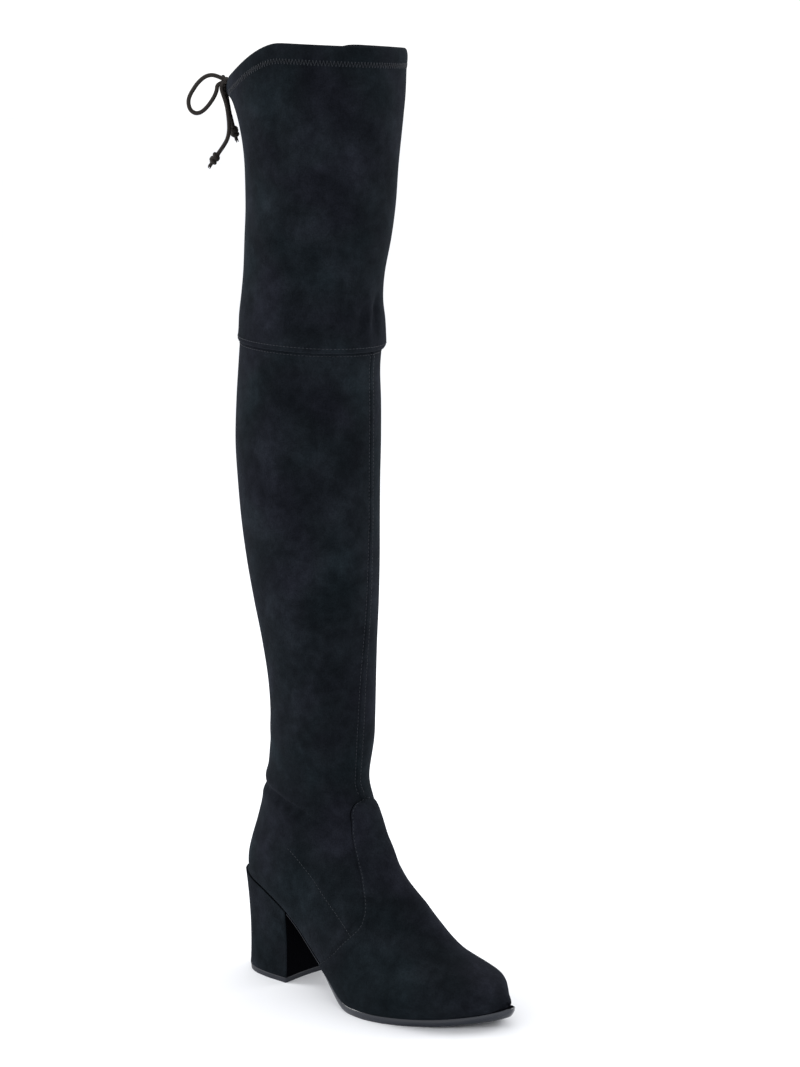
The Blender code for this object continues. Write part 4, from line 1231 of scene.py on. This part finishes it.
def build_end_knot(name, node, route, material):
    """An overhand knot at a tail's end, with the cord's frayed tip beyond it."""
    start, ways = bow_frame()
    end, before = (start + np.array(p) @ ways for p in (route[-1], route[-2]))
    way = unit(end - before)
    side = unit(np.cross(way, (0.0, 1.0, 0.2)))
    other = np.cross(way, side)
    size = CORD_DIAMETER
    pieces = []
    for along, lean in ((0.62, 0.30), (1.30, -0.25), (1.95, 0.20)):
        turn = np.linspace(0, 2 * math.pi, 25)
        path = [end + way * size * (along + lean * math.sin(a))
                + side * size * 0.64 * math.cos(a) + other * size * 0.60 * math.sin(a)
                for a in turn]
        pieces.append(tube("wrap", path, size * 0.45, material, 12))
    core = [end + way * size * s for s in np.linspace(0.0, 2.6, 8)]
    pieces.append(tube("core", core, size * 0.6, material, 12))
    strands = [(0.0, 0.0, 3.9), (0.28, 0.1, 3.7), (-0.22, 0.2, 3.95), (0.1, -0.3, 3.8),
               (-0.12, -0.24, 3.6), (0.2, 0.3, 3.95)]
    for a, b, far in strands:
        path = [end + size * (way * s + (side * a + other * b) * (0.6 + 0.5 * t))
                for t, s in zip(np.linspace(0, 1, 6), np.linspace(2.3, far, 6))]
        pieces.append(tube("strand", path, size * 0.17, material, 8,
                           taper=[1.5, 1.4, 1.1, 0.9, 0.8, 0.6]))
    made = join(name, pieces)
    dress(made, node)
    return made


# Stitches.

class Threads:
    """Collects short raised stitches in one mesh."""

    def __init__(self):
        self.points, self.faces = [], []

    def add(self, a, b, normal, width=STITCH_WIDTH, sides=6):
        """One stitch from a to b, half sunk in the surface."""
        a, b, normal = (np.asarray(v, float) for v in (a, b, normal))
        length = np.linalg.norm(b - a)
        if length < 1e-6:
            return
        way = (b - a) / length
        side = unit(np.cross(way, normal))
        high = np.cross(side, way)
        first = len(self.points)
        turn = np.linspace(0, 2 * math.pi, sides, endpoint=False)
        rings = ((0.0, 0.35, -0.45), (0.12, 0.85, 0.10), (0.5, 1.0, 0.30), (0.88, 0.85, 0.10),
                 (1.0, 0.35, -0.45))
        for share, fat, lift in rings:
            middle = a + way * length * share + high * width * lift
            for angle in turn:
                self.points.append(middle + (side * math.cos(angle) * width / 2
                                             + high * math.sin(angle) * width / 2) * fat)
        self.faces += solid_faces(len(rings), sides, first)

    def row(self, line, tree, level=False):
        """Running stitches along a line on a surface, met from outside if it lies level."""
        total = lengths_along(line)[-1]
        count = int(total / STITCH_PITCH)
        for k in range(count):
            at = (k + 0.5) * total / count
            ends = spread(line, at + STITCH_LENGTH * np.array([-0.5, 0.5]))
            found = [outermost(tree, p) if level else tree.find_nearest(Vector(p)) for p in ends]
            self.add(found[0][0], found[1][0], found[0][1])

    def finish(self, name, material):
        made = new_mesh(name, self.points, self.faces, [material])
        fix_normals(made)
        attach(made, "root")


def side_route(tree, points, side, count=60):
    """A line on the surface from its side view, on the outer (-1) or inner (1) side."""
    line = []
    for ahead, height in smooth_line(points, count):
        start = Vector((side * 0.12, -ahead, height))
        hit, _, _, _ = tree.ray_cast(start, Vector((-side, 0, 0)), 0.2)
        if hit is not None:
            line.append(hit)
    return np.array(line)


def build_seam_rows(upper, upper_made, thigh, thigh_made, vamp_made, vamp_edges, thread):
    """The stitches of the vamp's edge, the counter seam, the knee seam and the front seam."""
    upper_tree, thigh_tree, vamp_tree = map(tree_of, (upper_made, thigh_made, vamp_made))
    rows = Threads()
    for edge in vamp_edges:
        rows.row(edge, vamp_tree)
    for side in (-1, 1):
        rows.row(side_route(upper_tree, COUNTER_SEAM, side), upper_tree)
    rows.row(thigh.grid[-1] + (0, 0, KNEE_STITCH_ABOVE), thigh_tree, level=True)
    rows.row(upper.grid[0] - (0, 0, KNEE_STITCH_BELOW), upper_tree, level=True)
    margin = 0.003
    low = VAMP_EDGE[0][1] * INSTEP_HEIGHT + margin
    for column in (FRONT - FRONT_STITCH_COLUMN, FRONT + FRONT_STITCH_COLUMN):
        line = upper.grid[:, column]
        line = line[(line[:, 2] > low) & (line[:, 2] < upper.grid[0, FRONT, 2] - margin)]
        rows.row(line, upper_tree)
    rows.finish("seam_stitches", thread)


def build_zigzag(thigh, thigh_made, hem_made, thread):
    """The zigzag under the hem."""
    zigzag = Threads()
    tree = tree_of(hem_made, thigh_made)
    low_line = thigh.grid[0] - (0, 0, ZIGZAG_FOOT)
    high_line = thigh.grid[0] + (0, 0, ZIGZAG_TOP)
    count = 2 * int(lengths_along(high_line)[-1] / ZIGZAG_PITCH)
    low, high = (spread(line, np.linspace(0, lengths_along(line)[-1], count + 1))
                 for line in (low_line, high_line))
    for k in range(count):
        a, b = (low[k], high[k + 1]) if k % 2 == 0 else (high[k], low[k + 1])
        (start, normal), (end, _) = outermost(tree, a), outermost(tree, b)
        zigzag.add(start, end, normal, ZIGZAG_WIDTH)
    zigzag.finish("zigzag_stitches", thread)


# Stage.

def build_stage():
    """A plain white floor and soft white light from all round."""
    reach = 30
    floor = new_mesh("floor", [(-reach, -reach, 0), (reach, -reach, 0), (reach, reach, 0),
                               (-reach, reach, 0)], [(0, 1, 2, 3)],
                     [plain("paper", (0.872, 0.884, 0.915), 0.9, 0.1)])
    world = bpy.data.worlds.new("studio")
    world.use_nodes = True
    world.node_tree.nodes["Background"].inputs["Color"].default_value = (1, 1, 1, 1)
    world.node_tree.nodes["Background"].inputs["Strength"].default_value = 1.15
    bpy.context.scene.world = world
    aim = Vector((0, -0.04, 0.35))
    for name, where, power in (("left", (-0.95, 1.90, 1.3), 34), ("right", (1.95, -0.90, 1.2), 22)):
        lamp = bpy.data.lights.new(name, "AREA")
        lamp.shape, lamp.size, lamp.energy = "SQUARE", 1.2, power
        made = bpy.data.objects.new(name, lamp)
        made.location = where
        made.rotation_euler = (aim - Vector(where)).to_track_quat("-Z", "Y").to_euler()
        bpy.context.scene.collection.objects.link(made)
    bpy.context.scene.view_settings.view_transform = "Standard"


def main():
    set_camera()
    braid = plain("braid", (0.018, 0.0145, 0.0125), 0.8, 0.3, 1800)
    knots = [build_end_knot("end_knot_outer", "tail_knot_outer", OUTER_TAIL, braid),
             build_end_knot("end_knot_inner", "tail_knot_inner", INNER_TAIL, braid)]
    bow_knot = build_bow_knot(braid)
    build_cord("loop_cord_outer", "bow_loop_outer", OUTER_LOOP, braid)
    build_cord("loop_cord_inner", "bow_loop_inner", INNER_LOOP, braid)
    build_cord("tail_cord_outer", "tail_outer", OUTER_TAIL, braid)
    build_cord("tail_cord_inner", "tail_inner", INNER_TAIL, braid)

    nap = suede()
    lining = plain("lining_cloth", (0.016, 0.014, 0.014), 0.9, 0.2, 700)
    edge = plain("sole_gloss", (0.014, 0.017, 0.025), 0.22, 0.35, coat=0.30)
    # Near black, for painted shade: the vamp edge's gap, the sole's crevice and the heel's breast.
    dark = plain("shadow_edge", (0.0024, 0.0025, 0.0034), 0.9, 0.0)
    rubber = plain("tip_rubber", (0.018, 0.020, 0.027), 0.5, 0.22)
    thread = plain("thread", (0.019, 0.022, 0.029), 0.6, 0.3)
    upper, upper_made = build_upper([nap, lining])
    vamp_made, vamp_edges = build_vamp([nap, dark], upper_made)
    thigh, thigh_made = build_thigh([nap, lining])
    hem_made = build_hem(nap)
    build_outsole([edge, dark])
    build_heel([nap, dark], rubber)
    build_seam_rows(upper, upper_made, thigh, thigh_made, vamp_made, vamp_edges, thread)
    build_zigzag(thigh, thigh_made, hem_made, thread)
    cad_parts["insole"].material_slots[0].material = lining
    build_stage()


main()
